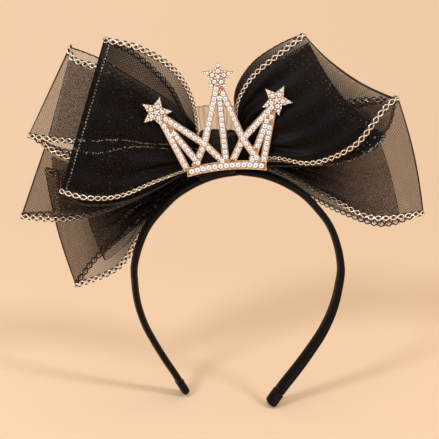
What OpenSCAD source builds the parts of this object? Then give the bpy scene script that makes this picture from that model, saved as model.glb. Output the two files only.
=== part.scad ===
// Mini crown headband: a cloth-bound band, a bow of sheer ribbon loops tied over it, and a
// small pierced crown with stones in front of the knot.
// Millimetres, +Z up. The origin is the inside of the band at its highest point, where the head
// carries it. The front faces -Y and the wearer's head goes in from below.

/* [Band] */
// Width across the band at its widest, over the outside
band_w = 135; // [110:1:160]
// Height from the inside of the top down to the ends
band_h = 151; // [120:1:180]
// Breadth of the bound strip, front to back
band_breadth = 11; // [8:0.5:16]
// Thickness of the bound strip, padding included
band_t = 4.2; // [3:0.1:6]
// Length of the folded cover on each end
tip_l = 14; // [8:1:20]
// How much thicker the folded cover is than the strip
tip_swell = 0.7; // [0.4:0.1:1.5]
// How far the two ends are twisted apart, front to back, from the middle plane
tip_twist = 9.5; // [0:1:16]
// How far the two ends lean to the left of the top
tip_lean = 7.8; // [0:0.2:12]

/* [Knot] */
// Width of the knot
knot_w = 26; // [20:1:34]
// Height of the top of the knot above the origin
knot_top = 31; // [26:1:38]
// Depth of the knot, front to back
knot_d = 26; // [22:1:32]
// Distance of the knot's middle to the left of the origin
knot_shift = 14; // [8:1:20]
// Distance of the knot's middle in front of the band's middle
knot_forward = 2.6; // [1:0.1:4]
// Depth of the pleats pressed into the knot
knot_pleat = 0.5; // [0.2:0.1:1]
// Height of the sheer frill that stands over the knot
frill_h = 14; // [8:1:20]

/* [Bow] */
// Reach of the longest loop, from the side of the knot
bow_reach = 116; // [100:1:130]
// Height that the loops' rises and drops are shares of
bow_rise = 100; // [85:1:115]
// Depth of the bow in front of and behind the band's middle plane
bow_depth = 30; // [28:1:36]
// Thickness of the ribbon, its stiffened weave included
ribbon_t = 1; // [1:0.1:1.2]
// Half the thickness of a loop just before its outer fold
fold_r = 3; // [2.6:0.1:4]
// Diameter of the corded edging along both edges of the ribbon
edging_d = 3; // [2.4:0.1:3.4]
// Clearance between the ribbon and its edging
edging_gap = 0.25; // [0.15:0.05:0.4]
// Height of the gathers beside the knot
gather_h = 0.3; // [0:0.1:0.5]

/* [Crown] */
// Height of the crown from its foot to the middle of the centre star
crown_h = 60; // [50:1:70]
// Half the width that the crown's bars are shares of
crown_half = 38; // [32:1:44]
// Thickness of the cast plate
crown_t = 1.6; // [1.2:0.1:2.4]
// Width of each bar
bar_w = 4.1; // [3.6:0.1:5]
// Height of the curved foot
foot_h = 5.4; // [4.8:0.1:7]
// Length of the curved foot
foot_l = 48.5; // [42:0.5:56]
// Radius of the foot's lower edge
foot_r = 118; // [90:1:160]
// Radius of a star, to its tips
star_r = 9.9; // [8:0.1:12]
// Turn of the whole crown in its own plane, in degrees
crown_turn = 5; // [0:1:10]
// Distance of the crown's foot to the left of the origin
crown_shift = 8.5; // [4:0.1:14]
// Height of the crown's foot above the origin
crown_rise = 7.9; // [5:0.1:12]

/* [Stones] */
// Diameter of a stone in the foot
foot_stone = 3.1; // [2.6:0.1:3.6]
// Diameter of a stone in a bar
bar_stone = 2.7; // [2.2:0.1:3.2]
// Diameter of a stone in a star
star_stone = 2.2; // [1.8:0.1:2.6]
// Height of a stone above the plate
stone_h = 1; // [0.7:0.1:1.4]
// Least clearance between stones, and under them
stone_gap = 0.12; // [0.1:0.01:0.3]

/* [Hidden] */

// Clearance between pieces that rest on each other
seat_gap = 0.3;

// Band: half of the middle line from the top down, as shares of half the width and of the height
// [across, down, turn of the strip about its own length in degrees]
BAND_LINE = [
    [0.00, 0.000, 0], [0.20, 0.013, 1], [0.37, 0.038, 2], [0.54, 0.078, 3], [0.71, 0.142, 5],
    [0.86, 0.222, 6], [0.95, 0.310, 7], [1.00, 0.410, 8], [0.99, 0.490, 9], [0.95, 0.585, 11],
    [0.87, 0.680, 13], [0.755, 0.770, 15], [0.63, 0.855, 17], [0.49, 0.945, 18], [0.41, 1.000, 18]];
BAND_RINGS = 24;
TIP_RINGS = 4;
strip_half = (band_w - band_t) / 2;
strip_drop = band_h + band_t / 2;
// Part of one leg that its cover takes, measured in rows of the band's table
tip_rows = tip_l / (band_h * 0.09);
leg_end = len(BAND_LINE) - 1;

// Ribbon loops. A row is a station on the way round: the front of the loop outwards, the
// fold, and the back of it towards the knot again. Each row holds the top edge and then the bottom edge,
// as [out, forward or back, up] shares of bow_reach, bow_depth and bow_rise.
FRONT_LEFT = [
    [ 0.02, -0.33, 0.29,   0.21, -0.47, -0.20],
    [ 0.13, -0.35, 0.47,   0.42, -0.60, -0.29],
    [ 0.32, -0.43, 0.61,   0.58, -0.80, -0.28],
    [ 0.48, -0.30, 0.66,   0.72, -0.60, -0.25],
    [ 0.34, -0.07, 0.55,   0.62, -0.33, -0.36],
    [ 0.15, -0.10, 0.34,   0.42, -0.27, -0.36],
    [ 0.07, -0.13, 0.21,   0.21, -0.20, -0.27]];
UPPER_LEFT = [
    [ 0.13,  0.10, 0.22,   0.17,  0.10, -0.03],
    [ 0.34,  0.13, 0.37,   0.41,  0.13,  0.00],
    [ 0.53,  0.20, 0.47,   0.70,  0.13,  0.01],
    [ 0.68,  0.43, 0.58,   0.91,  0.33,  0.03],
    [ 0.53,  0.67, 0.50,   0.78,  0.53, -0.07],
    [ 0.35,  0.63, 0.38,   0.53,  0.57, -0.12],
    [ 0.13,  0.40, 0.23,   0.20,  0.40, -0.09]];
MIDDLE_LEFT = [
    [ 0.20,  0.10, -0.12,  0.26,  0.10, -0.32],
    [ 0.40,  0.10, -0.11,  0.47,  0.07, -0.43],
    [ 0.61,  0.10, -0.13,  0.72,  0.00, -0.49],
    [ 0.82,  0.23, -0.03,  0.96,  0.13, -0.48],
    [ 0.65,  0.33, -0.12,  0.79,  0.27, -0.48],
    [ 0.43,  0.33, -0.14,  0.56,  0.30, -0.47],
    [ 0.21,  0.30, -0.16,  0.29,  0.30, -0.36]];
LOWER_LEFT = [
    [ 0.20,  0.40, -0.22,  0.19,  0.40, -0.36],
    [ 0.41,  0.53, -0.24,  0.31,  0.50, -0.57],
    [ 0.63,  0.57, -0.28,  0.44,  0.40, -0.85],
    [ 0.84,  0.73, -0.23,  0.68,  0.37, -0.97],
    [ 0.64,  0.93, -0.29,  0.58,  0.67, -0.83],
    [ 0.42,  0.87, -0.25,  0.45,  0.77, -0.70],
    [ 0.21,  0.63, -0.23,  0.25,  0.67, -0.46]];
FRONT_RIGHT = [
    [-0.01, -0.30, 0.27,   0.18, -0.40, -0.06],
    [ 0.07, -0.30, 0.44,   0.38, -0.57, -0.08],
    [ 0.19, -0.25, 0.56,   0.60, -0.83,  0.05],
    [ 0.34, -0.10, 0.69,   0.82, -0.67,  0.33],
    [ 0.22,  0.13, 0.62,   0.78, -0.40,  0.12],
    [ 0.07,  0.10, 0.50,   0.57, -0.27, -0.08],
    [-0.02, -0.07, 0.33,   0.27, -0.17, -0.13]];
LOWER_RIGHT = [
    [ 0.18,  0.17, 0.09,   0.20,  0.24, -0.19],
    [ 0.39,  0.20, 0.19,   0.47,  0.12, -0.34],
    [ 0.61,  0.27, 0.25,   0.72,  0.02, -0.48],
    [ 0.86,  0.40, 0.26,   1.01,  0.13, -0.46],
    [ 0.64,  0.63, 0.20,   0.80,  0.40, -0.56],
    [ 0.40,  0.60, 0.13,   0.56,  0.47, -0.48],
    [ 0.18,  0.45, 0.04,   0.24,  0.48, -0.28]];
// One row a loop: table, side (-1 left, 1 right), layer of its front and of its back at the knot
// counted from the front, foot and head of the gathered end as shares of the knot's height, swell of the front and
// back in mm, and how many stations the inner loop folds short of the fold at its top and its
// bottom, with the drop of its lower corner as a share of bow_rise
LOOPS = [
    ["front_left",   FRONT_LEFT,  -1, 0,  3, 0.15, 0.92, 1, 0, 1.0, 1.0, 0.00],
    ["upper_left",   UPPER_LEFT,  -1, 4,  7, 0.58, 0.92, 0, 2, 1.0, 2.0, 0.00],
    ["middle_left",  MIDDLE_LEFT, -1, 4,  7, 0.12, 0.42, 0, 1, 1.2, 1.9, 0.00],
    ["lower_left",   LOWER_LEFT,  -1, 8, 12, 0.12, 0.50, 0, 2, 1.9, 2.0, 0.00],
    ["front_right",  FRONT_RIGHT,  1, 0,  3, 0.15, 0.92, 1, 0, 1.0, 1.0, 0.22],
    ["lower_right",  LOWER_RIGHT,  1, 5,  9, 0.15, 0.80, 0, 2, 1.4, 1.3, 0.00]];
// Pieces of each stretch between two stations, from the knot round to the knot again
OUTER_STEPS = [2, 2, 3, 2, 1, 1, 2, 3, 2, 2];
INNER_STEPS = [2, 2, 2, 1, 1, 1, 1, 2, 2, 2];
OUTER_COLUMNS = 7;
INNER_COLUMNS = 5;
EDGING_SIDES = 6;
// Gathers across the ribbon beside the knot
GATHERS = 3;
// Layers at the knot lie this far apart
layer_pitch = ribbon_t + 0.5;
first_layer = -6.4 - knot_forward;
// Clearance between the knot's side and the gathered ends
root_gap = 0.8;
knot_low = band_t;
loop_z = 20;
// Share of the gap between a loop's front and back that its inner loop keeps off each of them
inner_inset = 0.33;

// Crown. A row is a bar: its head and then its foot, as shares of crown_half and crown_h
BARS = [
    [-1.00, 0.62, -0.63, 0.03], [-0.99, 0.61, -0.45, 0.10],
    [-0.97, 0.62, -0.32, 0.29], [-0.32, 0.29, -0.06, 0.10],
    [-0.03, 0.90, -0.32, 0.29], [-0.32, 0.29, -0.51, 0.06],
    [-0.02, 0.92, 0.00, 0.08],
    [-0.01, 0.90, 0.30, 0.31], [ 0.30, 0.31, 0.54, 0.05],
    [ 0.80, 0.61, 0.30, 0.31], [ 0.30, 0.31, 0.10, 0.08],
    [ 0.81, 0.62, 0.42, 0.08], [ 0.83, 0.62, 0.59, 0.03]];
// A row is a star: its middle as shares of crown_half and crown_h, and its turn in degrees
STARS = [[-1.04, 0.66, -19], [-0.01, 0.97, -5], [0.89, 0.68, -32]];
star_waist = 0.46 * star_r;
// Stones of a star, as shares of its radius
STAR_RINGS = [0.37, 0.68];
crown_back = -knot_forward - knot_d / 2 - seat_gap;

// A smooth curve through rows of points, where u counts the rows, with even turns at close rows
function blend(p, q, a, b, t) = (p * (b - t) + q * (t - a)) / (b - a);
function curve(rows, u) =
    let (n = len(rows), i = min(floor(u), n - 2),
        p1 = rows[i], p2 = rows[i + 1],
        p0 = i > 0 ? rows[i - 1] : 2 * p1 - p2,
        p3 = i < n - 2 ? rows[i + 2] : 2 * p2 - p1,
        t1 = sqrt(norm(p1 - p0)), t2 = t1 + sqrt(norm(p2 - p1)), t3 = t2 + sqrt(norm(p3 - p2)),
        t = t1 + (u - i) * (t2 - t1),
        a1 = blend(p0, p1, 0, t1, t), a2 = blend(p1, p2, t1, t2, t), a3 = blend(p2, p3, t2, t3, t))
    blend(blend(a1, a2, 0, t2, t), blend(a2, a3, t1, t3, t), t1, t2, t);
function unit(v) = v / norm(v);
function mix(a, b, s) = a + (b - a) * s;

// Triangles between rings of an even number of points. The first and last ring are capped in
// strips, from their first and last points towards the middle ones.
function two(a, b, c, d) = [[a, b, c], [a, c, d]];
function ring_faces(rings, sides) =
    let (end = (rings - 1) * sides, last = sides - 1)
    concat(
        [for (i = [0 : rings - 2], j = [0 : last])
            let (k = (j + 1) % sides, a = i * sides, b = a + sides)
            each two(a + j, b + j, b + k, a + k)],
        [for (j = [0 : sides / 2 - 2]) each two(j, j + 1, last - 1 - j, last - j)],
        [for (j = [0 : sides / 2 - 2])
            each two(end + last - j, end + last - 1 - j, end + j + 1, end + j)]);
module swept(rings) {
    points = [for (ring = rings) each ring];
    polyhedron(points, ring_faces(len(rings), len(rings[0])), convexity = 10);
}

// Middle of the strip at row u of the band's table, on one side of the head
function band_point(side, u) =
    let (row = curve(BAND_LINE, u), down = row[1] * strip_drop, fall = pow(row[1], 1.8))
    [side * row[0] * strip_half - tip_lean * fall, -side * tip_twist * fall, band_t / 2 - down];
function band_turn(side, u) = side * curve(BAND_LINE, u)[2];
// Section of the strip: flat against the head and domed outside, as [out, back] shares
SECTION = [[-0.5, -0.36], [-0.34, -0.5], [0.05, -0.5], [0.36, -0.34], [0.5, -0.1],
    [0.5, 0.1], [0.36, 0.34], [0.05, 0.5], [-0.34, 0.5], [-0.5, 0.36]];
function band_ring(side, u, swell) =
    let (p = band_point(side, u), step = 0.02,
        along = unit(band_point(side, min(u + step, leg_end)) - band_point(side, max(u - step, 0))),
        turn = band_turn(side, u),
        flat_out = unit(cross([0, side, 0], along)),
        back = unit(cross(along, flat_out) * side),
        out = flat_out * cos(turn) - back * sin(turn), rear = back * cos(turn) + flat_out * sin(turn))
    [for (s = SECTION) p + out * s[0] * (band_t + swell) + rear * s[1] * (band_breadth + swell)];

module band() {
    last = leg_end - tip_rows;
    left = [for (i = [BAND_RINGS : -1 : 1]) band_ring(-1, last * i / BAND_RINGS, 0)];
    right = [for (i = [0 : BAND_RINGS]) band_ring(1, last * i / BAND_RINGS, 0)];
    color("#1b191b") swept(concat(left, right));
}
module tip(side) {
    first = leg_end - tip_rows + seat_gap / tip_l * tip_rows;
    rings = [for (i = [0 : TIP_RINGS]) band_ring(side, mix(first, leg_end, i / TIP_RINGS),
        i == TIP_RINGS ? -tip_swell : tip_swell)];
    color("#1b191b") swept(side > 0 ? rings : [for (i = [TIP_RINGS : -1 : 0]) rings[i]]);
}

// Height of the strip's outside at x near the top of the band, for what is tied over it
TOP_ROWS = 4;
TOP_STEP = 0.25;
band_top = [for (side = [-1, 1], i = side < 0 ? [TOP_ROWS / TOP_STEP : -1 : 1] : [0 : TOP_ROWS / TOP_STEP])
    let (ring = band_ring(side, i * TOP_STEP, 0), heights = [for (p = ring) p[2]],
        highest = search(max(heights), heights)[0]) [ring[highest][0], heights[highest]]];
function band_top_z(x) = lookup(x, band_top);

// Knot: a pleated drum around the gathered ends, cut to the curve of the band below
KNOT_SIDES = 32;
KNOT_LEVELS = [0, 0.08, 0.4, 0.85, 0.96, 1];
KNOT_GIRTH = [0.86, 0.96, 1, 0.97, 0.9, 0.8];
KNOT_SQUARENESS = 0.45;
function squared(v) = sign(v) * pow(abs(v), KNOT_SQUARENESS);
module knot() {
    rings = [for (l = [0 : len(KNOT_LEVELS) - 1])
        [for (j = [0 : KNOT_SIDES - 1])
            let (a = j * 360 / KNOT_SIDES,
                front = max(0, -sin(a)),
                pleat = l > 0 && j % 2 == 1 ? knot_pleat * front : 0,
                x = -knot_shift + squared(cos(a)) * (knot_w / 2) * KNOT_GIRTH[l],
                y = -knot_forward + squared(sin(a)) * (knot_d / 2 - pleat) * KNOT_GIRTH[l],
                low = band_top_z(x) + seat_gap)
            [x, y, mix(low, knot_top, KNOT_LEVELS[l])]]];
    color("#141214") swept(rings);
}

// Frill: the sheer upper edge of the ribbon that is tied round the middle, in standing pleats
FRILL_PLEATS = 4;
FRILL_STEPS = 24;
FRILL_LEVELS = 3;
frill_l = knot_w * 0.8;
frill_wave = 1.8;
function frill_point(s, h) =
    [-knot_shift + (s - 0.5) * frill_l * mix(0.86, 1, h),
        -knot_forward + frill_wave * mix(0.6, 1, h) * sin(360 * FRILL_PLEATS * s),
        knot_top + seat_gap + h * (frill_h - 1.5 * pow(2 * s - 1, 2))];
module knot_frill() {
    rings = [for (i = [0 : FRILL_STEPS])
        let (s = i / FRILL_STEPS)
        concat([for (k = [0 : FRILL_LEVELS]) frill_point(s, k / FRILL_LEVELS) + [0, ribbon_t / 2, 0]],
            [for (k = [FRILL_LEVELS : -1 : 0]) frill_point(s, k / FRILL_LEVELS) - [0, ribbon_t / 2, 0]])];
    color("#8a7668", 0.7) swept(rings);
}

// Loops: the stations of one edge in millimetres, with the gathered ends added
function station(loop, row, edge) =
    let (s = [for (k = [0 : 2]) row[edge * 3 + k]])
    [-knot_shift + loop[2] * (knot_w / 2 + s[0] * bow_reach), s[1] * bow_depth, loop_z + s[2] * bow_rise];
function root(loop, layer, edge) =
    [-knot_shift + loop[2] * (knot_w / 2 + root_gap), first_layer + layer * layer_pitch,
        mix(knot_low, knot_top, edge == 0 ? loop[6] : loop[5])];
function fold_side(fold, next, dir) = fold + 0.12 * (next - fold) + [0, dir * fold_r, 0];
function edge_rows(loop, edge) =
    let (p = [for (row = loop[1]) station(loop, row, edge)])
    [root(loop, loop[3], edge), p[0], p[1], p[2], fold_side(p[3], p[2], -1), p[3],
        fold_side(p[3], p[4], 1), p[4], p[5], p[6], root(loop, loop[4], edge)];
last_row = 10;
mid_row = last_row / 2;
// Share of the ribbon's width that the inner loop is narrower by, on each side
INNER_NARROW = 0.07;

// The inner loop lies between the front and the back of the outer one, folds short of the outer
// fold, and is a little narrower
function inner_rows(loop, edge) =
    let (rows = edge_rows(loop, edge), other = edge_rows(loop, 1 - edge),
        short = (mid_row - loop[9 + edge]) / mid_row)
    [for (i = [0 : last_row])
        let (w = i <= mid_row ? i * short : last_row - (last_row - i) * short,
            s = i == mid_row ? 0.5 : inner_inset,
            here = mix(curve(rows, w), curve(rows, last_row - w), s),
            there = mix(curve(other, w), curve(other, last_row - w), s),
            far = pow(1 - abs(i - mid_row) / mid_row, 2),
            layer = mix(loop[3], loop[4], i == 0 ? inner_inset : 1 - inner_inset))
        i == 0 || i == last_row ? root(loop, layer, edge)
            : mix(here, there, INNER_NARROW) - [0, 0, edge * loop[11] * bow_rise * far]];

// Point of the ribbon at row u of its edges and share v of its width, from the top edge down
function along(rows, u) = let (e = 0.05)
    unit(curve(rows, min(u + e, last_row)) - curve(rows, max(u - e, 0)));
function inwards(v, way) = unit(v - (v * way) * way);
function ribbon_point(loop, top, bottom, u, v, trim) =
    let (a = curve(top, u), b = curve(bottom, u), across = unit(b - a),
        outwards = [loop[2] * 0.25, 0, 0],
        from_a = inwards(across + outwards, along(top, u)) * trim,
        from_b = inwards(outwards - across, along(bottom, u)) * trim,
        front = sin(180 * u / 5),
        swell = sin(180 * v) * (front > 0 ? -loop[7] : -loop[8]) * front,
        near = max(0, 1 - min(u, last_row - u) / 2.5),
        gather = near * near * (u < 5 ? 1 : -1) * gather_h * sin(360 * GATHERS * v) * sin(180 * min(1, near * 1.6)))
    mix(a + from_a, b + from_b, v) + [0, swell + gather, 0];
function ribbon_normal(loop, top, bottom, u, v, trim) =
    let (e = 0.05, g = 0.02,
        du = ribbon_point(loop, top, bottom, min(u + e, last_row), v, trim)
            - ribbon_point(loop, top, bottom, max(u - e, 0), v, trim),
        dv = ribbon_point(loop, top, bottom, u, min(v + g, 1), trim)
            - ribbon_point(loop, top, bottom, u, max(v - g, 0), trim))
    unit(cross(du, dv));
function stops(steps) = concat(
    [for (i = [0 : len(steps) - 1], k = [0 : steps[i] - 1]) i + k / steps[i]], [len(steps)]);

module ribbon(loop, top, bottom, steps, columns, trim) {
    rings = [for (u = stops(steps))
        let (mid = [for (j = [0 : columns]) ribbon_point(loop, top, bottom, u, j / columns, trim)],
            off = [for (j = [0 : columns])
                ribbon_normal(loop, top, bottom, u, j / columns, trim) * ribbon_t / 2])
        concat([for (j = [0 : columns]) mid[j] - off[j]], [for (j = [columns : -1 : 0]) mid[j] + off[j]])];
    swept(rings);
}
module outer_loop(loop)
    color("#2a2424", 0.8) ribbon(loop, edge_rows(loop, 0), edge_rows(loop, 1), OUTER_STEPS,
        OUTER_COLUMNS, edging_d / 2 + edging_gap);
module inner_loop(loop)
    color("#1c1a1b") ribbon(loop, inner_rows(loop, 0), inner_rows(loop, 1), INNER_STEPS,
        INNER_COLUMNS, edging_d / 2 + edging_gap);
// Edging: a cord along each edge, thinner where the gathers squeeze it beside the knot
module edging_cord(rows) {
    rings = [for (u = stops(OUTER_STEPS))
        let (p = curve(rows, u), way = along(rows, u),
            right = unit(cross(way, [0.1, 0.2, 1])), up = cross(right, way),
            r = edging_d / 2 * min(1, 0.4 + 0.6 * min(u, last_row - u)))
        [for (j = [0 : EDGING_SIDES - 1])
            let (a = -j * 360 / EDGING_SIDES) p + r * (right * cos(a) + up * sin(a))]];
    swept(rings);
}
module edging(loop) color("#c9a06a") for (edge = [0, 1]) edging_cord(edge_rows(loop, edge));

// Crown: everything in the plane of the plate, measured from the middle of its foot
function crown_point(u, w) = [u * crown_half, w * crown_h];
module in_crown_plane() {
    translate([-crown_shift, crown_back, crown_rise]) rotate([90, 0, 0]) rotate(crown_turn) children();
}
module bar(row) {
    head = crown_point(row[0], row[1]);
    foot = crown_point(row[2], row[3]);
    run = foot - head;
    translate(head) rotate(atan2(run[1], run[0])) translate([0, -bar_w / 2]) square([norm(run), bar_w]);
}
function star_outline() = [for (i = [0 : 9])
    let (r = i % 2 == 0 ? star_r : star_waist, a = 90 + i * 36) [r * cos(a), r * sin(a)]];
module star(row) translate(crown_point(row[0], row[1])) rotate(row[2]) polygon(star_outline());
foot_middle = [0, -foot_r];
module foot() {
    intersection() {
        translate(foot_middle) difference() {
            circle(r = foot_r + foot_h, $fn = 180);
            circle(r = foot_r, $fn = 180);
        }
        translate([-foot_l / 2, -foot_h * 2]) square([foot_l, foot_h * 4]);
    }
}
module crown_frame() {
    color("#d9a27c") in_crown_plane() linear_extrude(crown_t) {
        foot();
        for (row = BARS) bar(row);
        for (row = STARS) star(row);
    }
}

// Stones, as [across, up, diameter] in the crown's plane
function foot_stones() =
    let (r = foot_r + foot_h / 2, pitch = foot_stone + 4 * stone_gap,
        n = floor((foot_l - foot_stone) / pitch), turn = pitch / r * 180 / PI)
    [for (i = [0 : n]) let (a = 90 + (n / 2 - i) * turn)
        [foot_middle[0] + r * cos(a), foot_middle[1] + r * sin(a), foot_stone]];
function star_stones_at(row) =
    let (middle = crown_point(row[0], row[1]))
    concat([[middle[0], middle[1], star_stone]],
        [for (ring = STAR_RINGS, i = [0 : 4])
            let (a = 90 + row[2] + i * 72, shrink = ring > 0.5 ? 0.8 : 1)
            [middle[0] + ring * star_r * cos(a), middle[1] + ring * star_r * sin(a), star_stone * shrink]]);
function bar_stones(row) =
    let (head = crown_point(row[0], row[1]), foot = crown_point(row[2], row[3]),
        run = foot - head, pitch = bar_stone + 4 * stone_gap, n = floor(norm(run) / pitch))
    [for (i = [0 : n]) let (p = head + run * (i / max(n, 1))) [p[0], p[1], bar_stone]];
// A stone that would crowd one set before it is left out
function clear_of(kept, s) =
    len([for (k = kept) if (norm([k[0] - s[0], k[1] - s[1]]) < (k[2] + s[2]) / 2 + stone_gap) 1]) == 0;
function settle(wanted, kept, i = 0) =
    i == len(wanted) ? kept
    : settle(wanted, clear_of(kept, wanted[i]) ? concat(kept, [wanted[i]]) : kept, i + 1);
all_star_stones = [for (row = STARS) each star_stones_at(row)];
all_stones = settle(concat(foot_stones(), [for (row = BARS) each bar_stones(row)]), all_star_stones);

// Stone: flat back, eight crown facets and a table
STONE_TABLE = 0.58;
module stone(s)
    translate([s[0], s[1], crown_t + stone_gap])
        cylinder(h = stone_h, d1 = s[2], d2 = s[2] * STONE_TABLE, $fn = 8);
module star_stones() color("#f2ece6") in_crown_plane() for (s = all_star_stones) stone(s);
module foot_and_bar_stones() {
    color("#f2ece6") in_crown_plane()
        for (i = [len(all_star_stones) : len(all_stones) - 1]) stone(all_stones[i]);
}

band();
tip(-1);  // tip_left
tip(1);  // tip_right
knot();
knot_frill();
for (loop = LOOPS) {
    outer_loop(loop);
    inner_loop(loop);
    edging(loop);
}
crown_frame();
foot_and_bar_stones();
star_stones();
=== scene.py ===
"""Looks of the mini crown headband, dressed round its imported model.

A cloth-bound band carries a bow of six sheer ribbon loops with corded edges, a pleated knot
with a standing frill, and a small pierced crown paved with clear stones. Everything is in
metres, with the origin at the inside of the band's highest point, the front towards -Y and
the wearer's head below.
"""

import logging
import math
from collections.abc import Callable, Sequence
from dataclasses import dataclass, field, replace
from enum import Enum

import bmesh
import bpy
import numpy as np
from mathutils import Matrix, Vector


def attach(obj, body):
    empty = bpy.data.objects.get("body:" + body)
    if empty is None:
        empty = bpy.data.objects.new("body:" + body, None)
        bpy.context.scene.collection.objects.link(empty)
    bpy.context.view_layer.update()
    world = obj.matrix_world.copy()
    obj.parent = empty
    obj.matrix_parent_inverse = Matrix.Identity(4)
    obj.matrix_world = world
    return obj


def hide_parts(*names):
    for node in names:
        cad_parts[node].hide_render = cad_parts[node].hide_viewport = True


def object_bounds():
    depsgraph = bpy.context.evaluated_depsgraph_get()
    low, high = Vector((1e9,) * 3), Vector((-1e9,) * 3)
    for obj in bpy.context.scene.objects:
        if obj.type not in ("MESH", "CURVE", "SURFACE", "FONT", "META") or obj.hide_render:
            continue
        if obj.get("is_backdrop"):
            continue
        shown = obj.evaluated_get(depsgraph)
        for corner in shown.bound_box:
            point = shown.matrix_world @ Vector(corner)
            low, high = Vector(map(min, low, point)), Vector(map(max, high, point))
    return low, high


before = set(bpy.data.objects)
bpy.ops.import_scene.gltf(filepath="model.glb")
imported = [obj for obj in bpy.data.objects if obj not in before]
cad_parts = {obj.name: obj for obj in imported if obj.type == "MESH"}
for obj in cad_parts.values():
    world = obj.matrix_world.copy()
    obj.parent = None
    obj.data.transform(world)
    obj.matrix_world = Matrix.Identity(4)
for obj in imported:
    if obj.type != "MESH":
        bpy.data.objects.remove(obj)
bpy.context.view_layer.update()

Piece = bpy.types.Object
Socket = bpy.types.NodeSocket
Colour = tuple[float, float, float]
# A round place on the crown's face: across, up and diameter
Disc = tuple[float, float, float]

log = logging.getLogger("headband")
BODY = "root"
WARM_GLOSS = (1.0, 0.85, 0.70, 1.0)


class Side(Enum):
    """Side of the knot that a loop springs from, or of the head that a leg runs down."""

    LEFT = -1
    RIGHT = 1


class Edge(Enum):
    """Long edge of a ribbon."""

    TOP = 0
    BOTTOM = 1


class Layer(Enum):
    """Which ribbon of a loop: the plain sheer one, or the glittering one folded inside it."""

    OUTER = "ribbon"
    INNER = "lining"


def unit(vectors: np.ndarray) -> np.ndarray:
    """Scales each row vector to length 1."""
    return vectors / np.maximum(np.linalg.norm(vectors, axis=-1, keepdims=True), 1e-12)


def smoothstep(low: float, high: float, value: np.ndarray) -> np.ndarray:
    """Eases from 0 at low to 1 at high."""
    t = np.clip((value - low) / (high - low), 0.0, 1.0)
    return t * t * (3.0 - 2.0 * t)


def smooth_curve(rows: np.ndarray, u: np.ndarray) -> np.ndarray:
    """Runs a centripetal curve through rows of points.

    Args:
        rows: Points, one a row.
        u: Places along the curve, counted in rows.

    Returns:
        One point for each place.
    """
    last = len(rows) - 1
    i = np.clip(np.floor(u).astype(int), 0, last - 1)
    p1, p2 = rows[i], rows[i + 1]
    p0 = np.where((i > 0)[:, None], rows[np.maximum(i - 1, 0)], 2 * p1 - p2)
    p3 = np.where((i < last - 1)[:, None], rows[np.minimum(i + 2, last)], 2 * p2 - p1)

    def chord(a: np.ndarray, b: np.ndarray) -> np.ndarray:
        """Square root of the distance between matching points."""
        return np.sqrt(np.linalg.norm(b - a, axis=1))[:, None]

    def blend(a: np.ndarray, b: np.ndarray, start: np.ndarray, end: np.ndarray) -> np.ndarray:
        """Mixes a and b by where t lies between start and end."""
        return (a * (end - t) + b * (t - start)) / (end - start)

    t1 = chord(p0, p1)
    t2 = t1 + chord(p1, p2)
    t3 = t2 + chord(p2, p3)
    t = t1 + (u - i)[:, None] * (t2 - t1)
    zero = np.zeros_like(t1)
    a1, a2, a3 = blend(p0, p1, zero, t1), blend(p1, p2, t1, t2), blend(p2, p3, t2, t3)
    return blend(blend(a1, a2, zero, t2), blend(a2, a3, t1, t3), t1, t2)


def arc_lengths(points: np.ndarray) -> np.ndarray:
    """Distance of each point from the first one, along the line through them."""
    steps = np.linalg.norm(np.diff(points, axis=0), axis=1)
    return np.concatenate([[0.0], np.cumsum(steps)])


def grid_faces(rows: int, columns: int, closed: bool = False) -> list[tuple[int, ...]]:
    """Quads between rows of points.

    Args:
        rows: Number of rows.
        columns: Number of points in a row.
        closed: Whether each row is a ring.

    Returns:
        One tuple of four point numbers a quad.
    """
    across = columns if closed else columns - 1
    return [
        (i * columns + j, i * columns + (j + 1) % columns,
         (i + 1) * columns + (j + 1) % columns, (i + 1) * columns + j)
        for i in range(rows - 1) for j in range(across)
    ]


def new_piece(
    name: str,
    points: np.ndarray,
    faces: Sequence[Sequence[int]],
    uv: np.ndarray | None = None,
    edges: Sequence[Sequence[int]] = (),
    smooth: bool = True,
) -> Piece:
    """Makes a mesh object in the scene, with its place in its mesh.

    Args:
        name: The piece's name.
        points: Points in metres.
        faces: Point numbers of each face.
        uv: A pair for each point, or None.
        edges: Point numbers of loose edges.
        smooth: Whether faces are shaded smooth.

    Returns:
        The new object.
    """
    mesh = bpy.data.meshes.new(name)
    mesh.from_pydata([tuple(p) for p in np.asarray(points, float)], list(edges), list(faces))
    if uv is not None:
        layer = mesh.uv_layers.new(name="UVMap")
        corners = np.array([c.vertex_index for c in mesh.loops], int)
        layer.data.foreach_set("uv", np.asarray(uv, np.float32)[corners].ravel())
    if smooth and mesh.polygons:
        mesh.polygons.foreach_set("use_smooth", [True] * len(mesh.polygons))
    mesh.update()
    piece = bpy.data.objects.new(name, mesh)
    bpy.context.scene.collection.objects.link(piece)
    return piece


def add_attribute(piece: Piece, name: str, values: np.ndarray) -> None:
    """Stores a number or a vector at each point of a piece.

    Args:
        piece: The mesh object.
        name: The attribute's name.
        values: One number or one row of three numbers a point.
    """
    vector = values.ndim == 2
    kind, key = ("FLOAT_VECTOR", "vector") if vector else ("FLOAT", "value")
    attribute = piece.data.attributes.new(name, kind, "POINT")
    attribute.data.foreach_set(key, values.astype(np.float32).ravel())


def outward_faces(piece: Piece) -> None:
    """Turns the faces of a closed piece outwards.

    Args:
        piece: The mesh object.
    """
    work = bmesh.new()
    work.from_mesh(piece.data)
    bmesh.ops.recalc_face_normals(work, faces=work.faces)
    work.to_mesh(piece.data)
    work.free()


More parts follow.
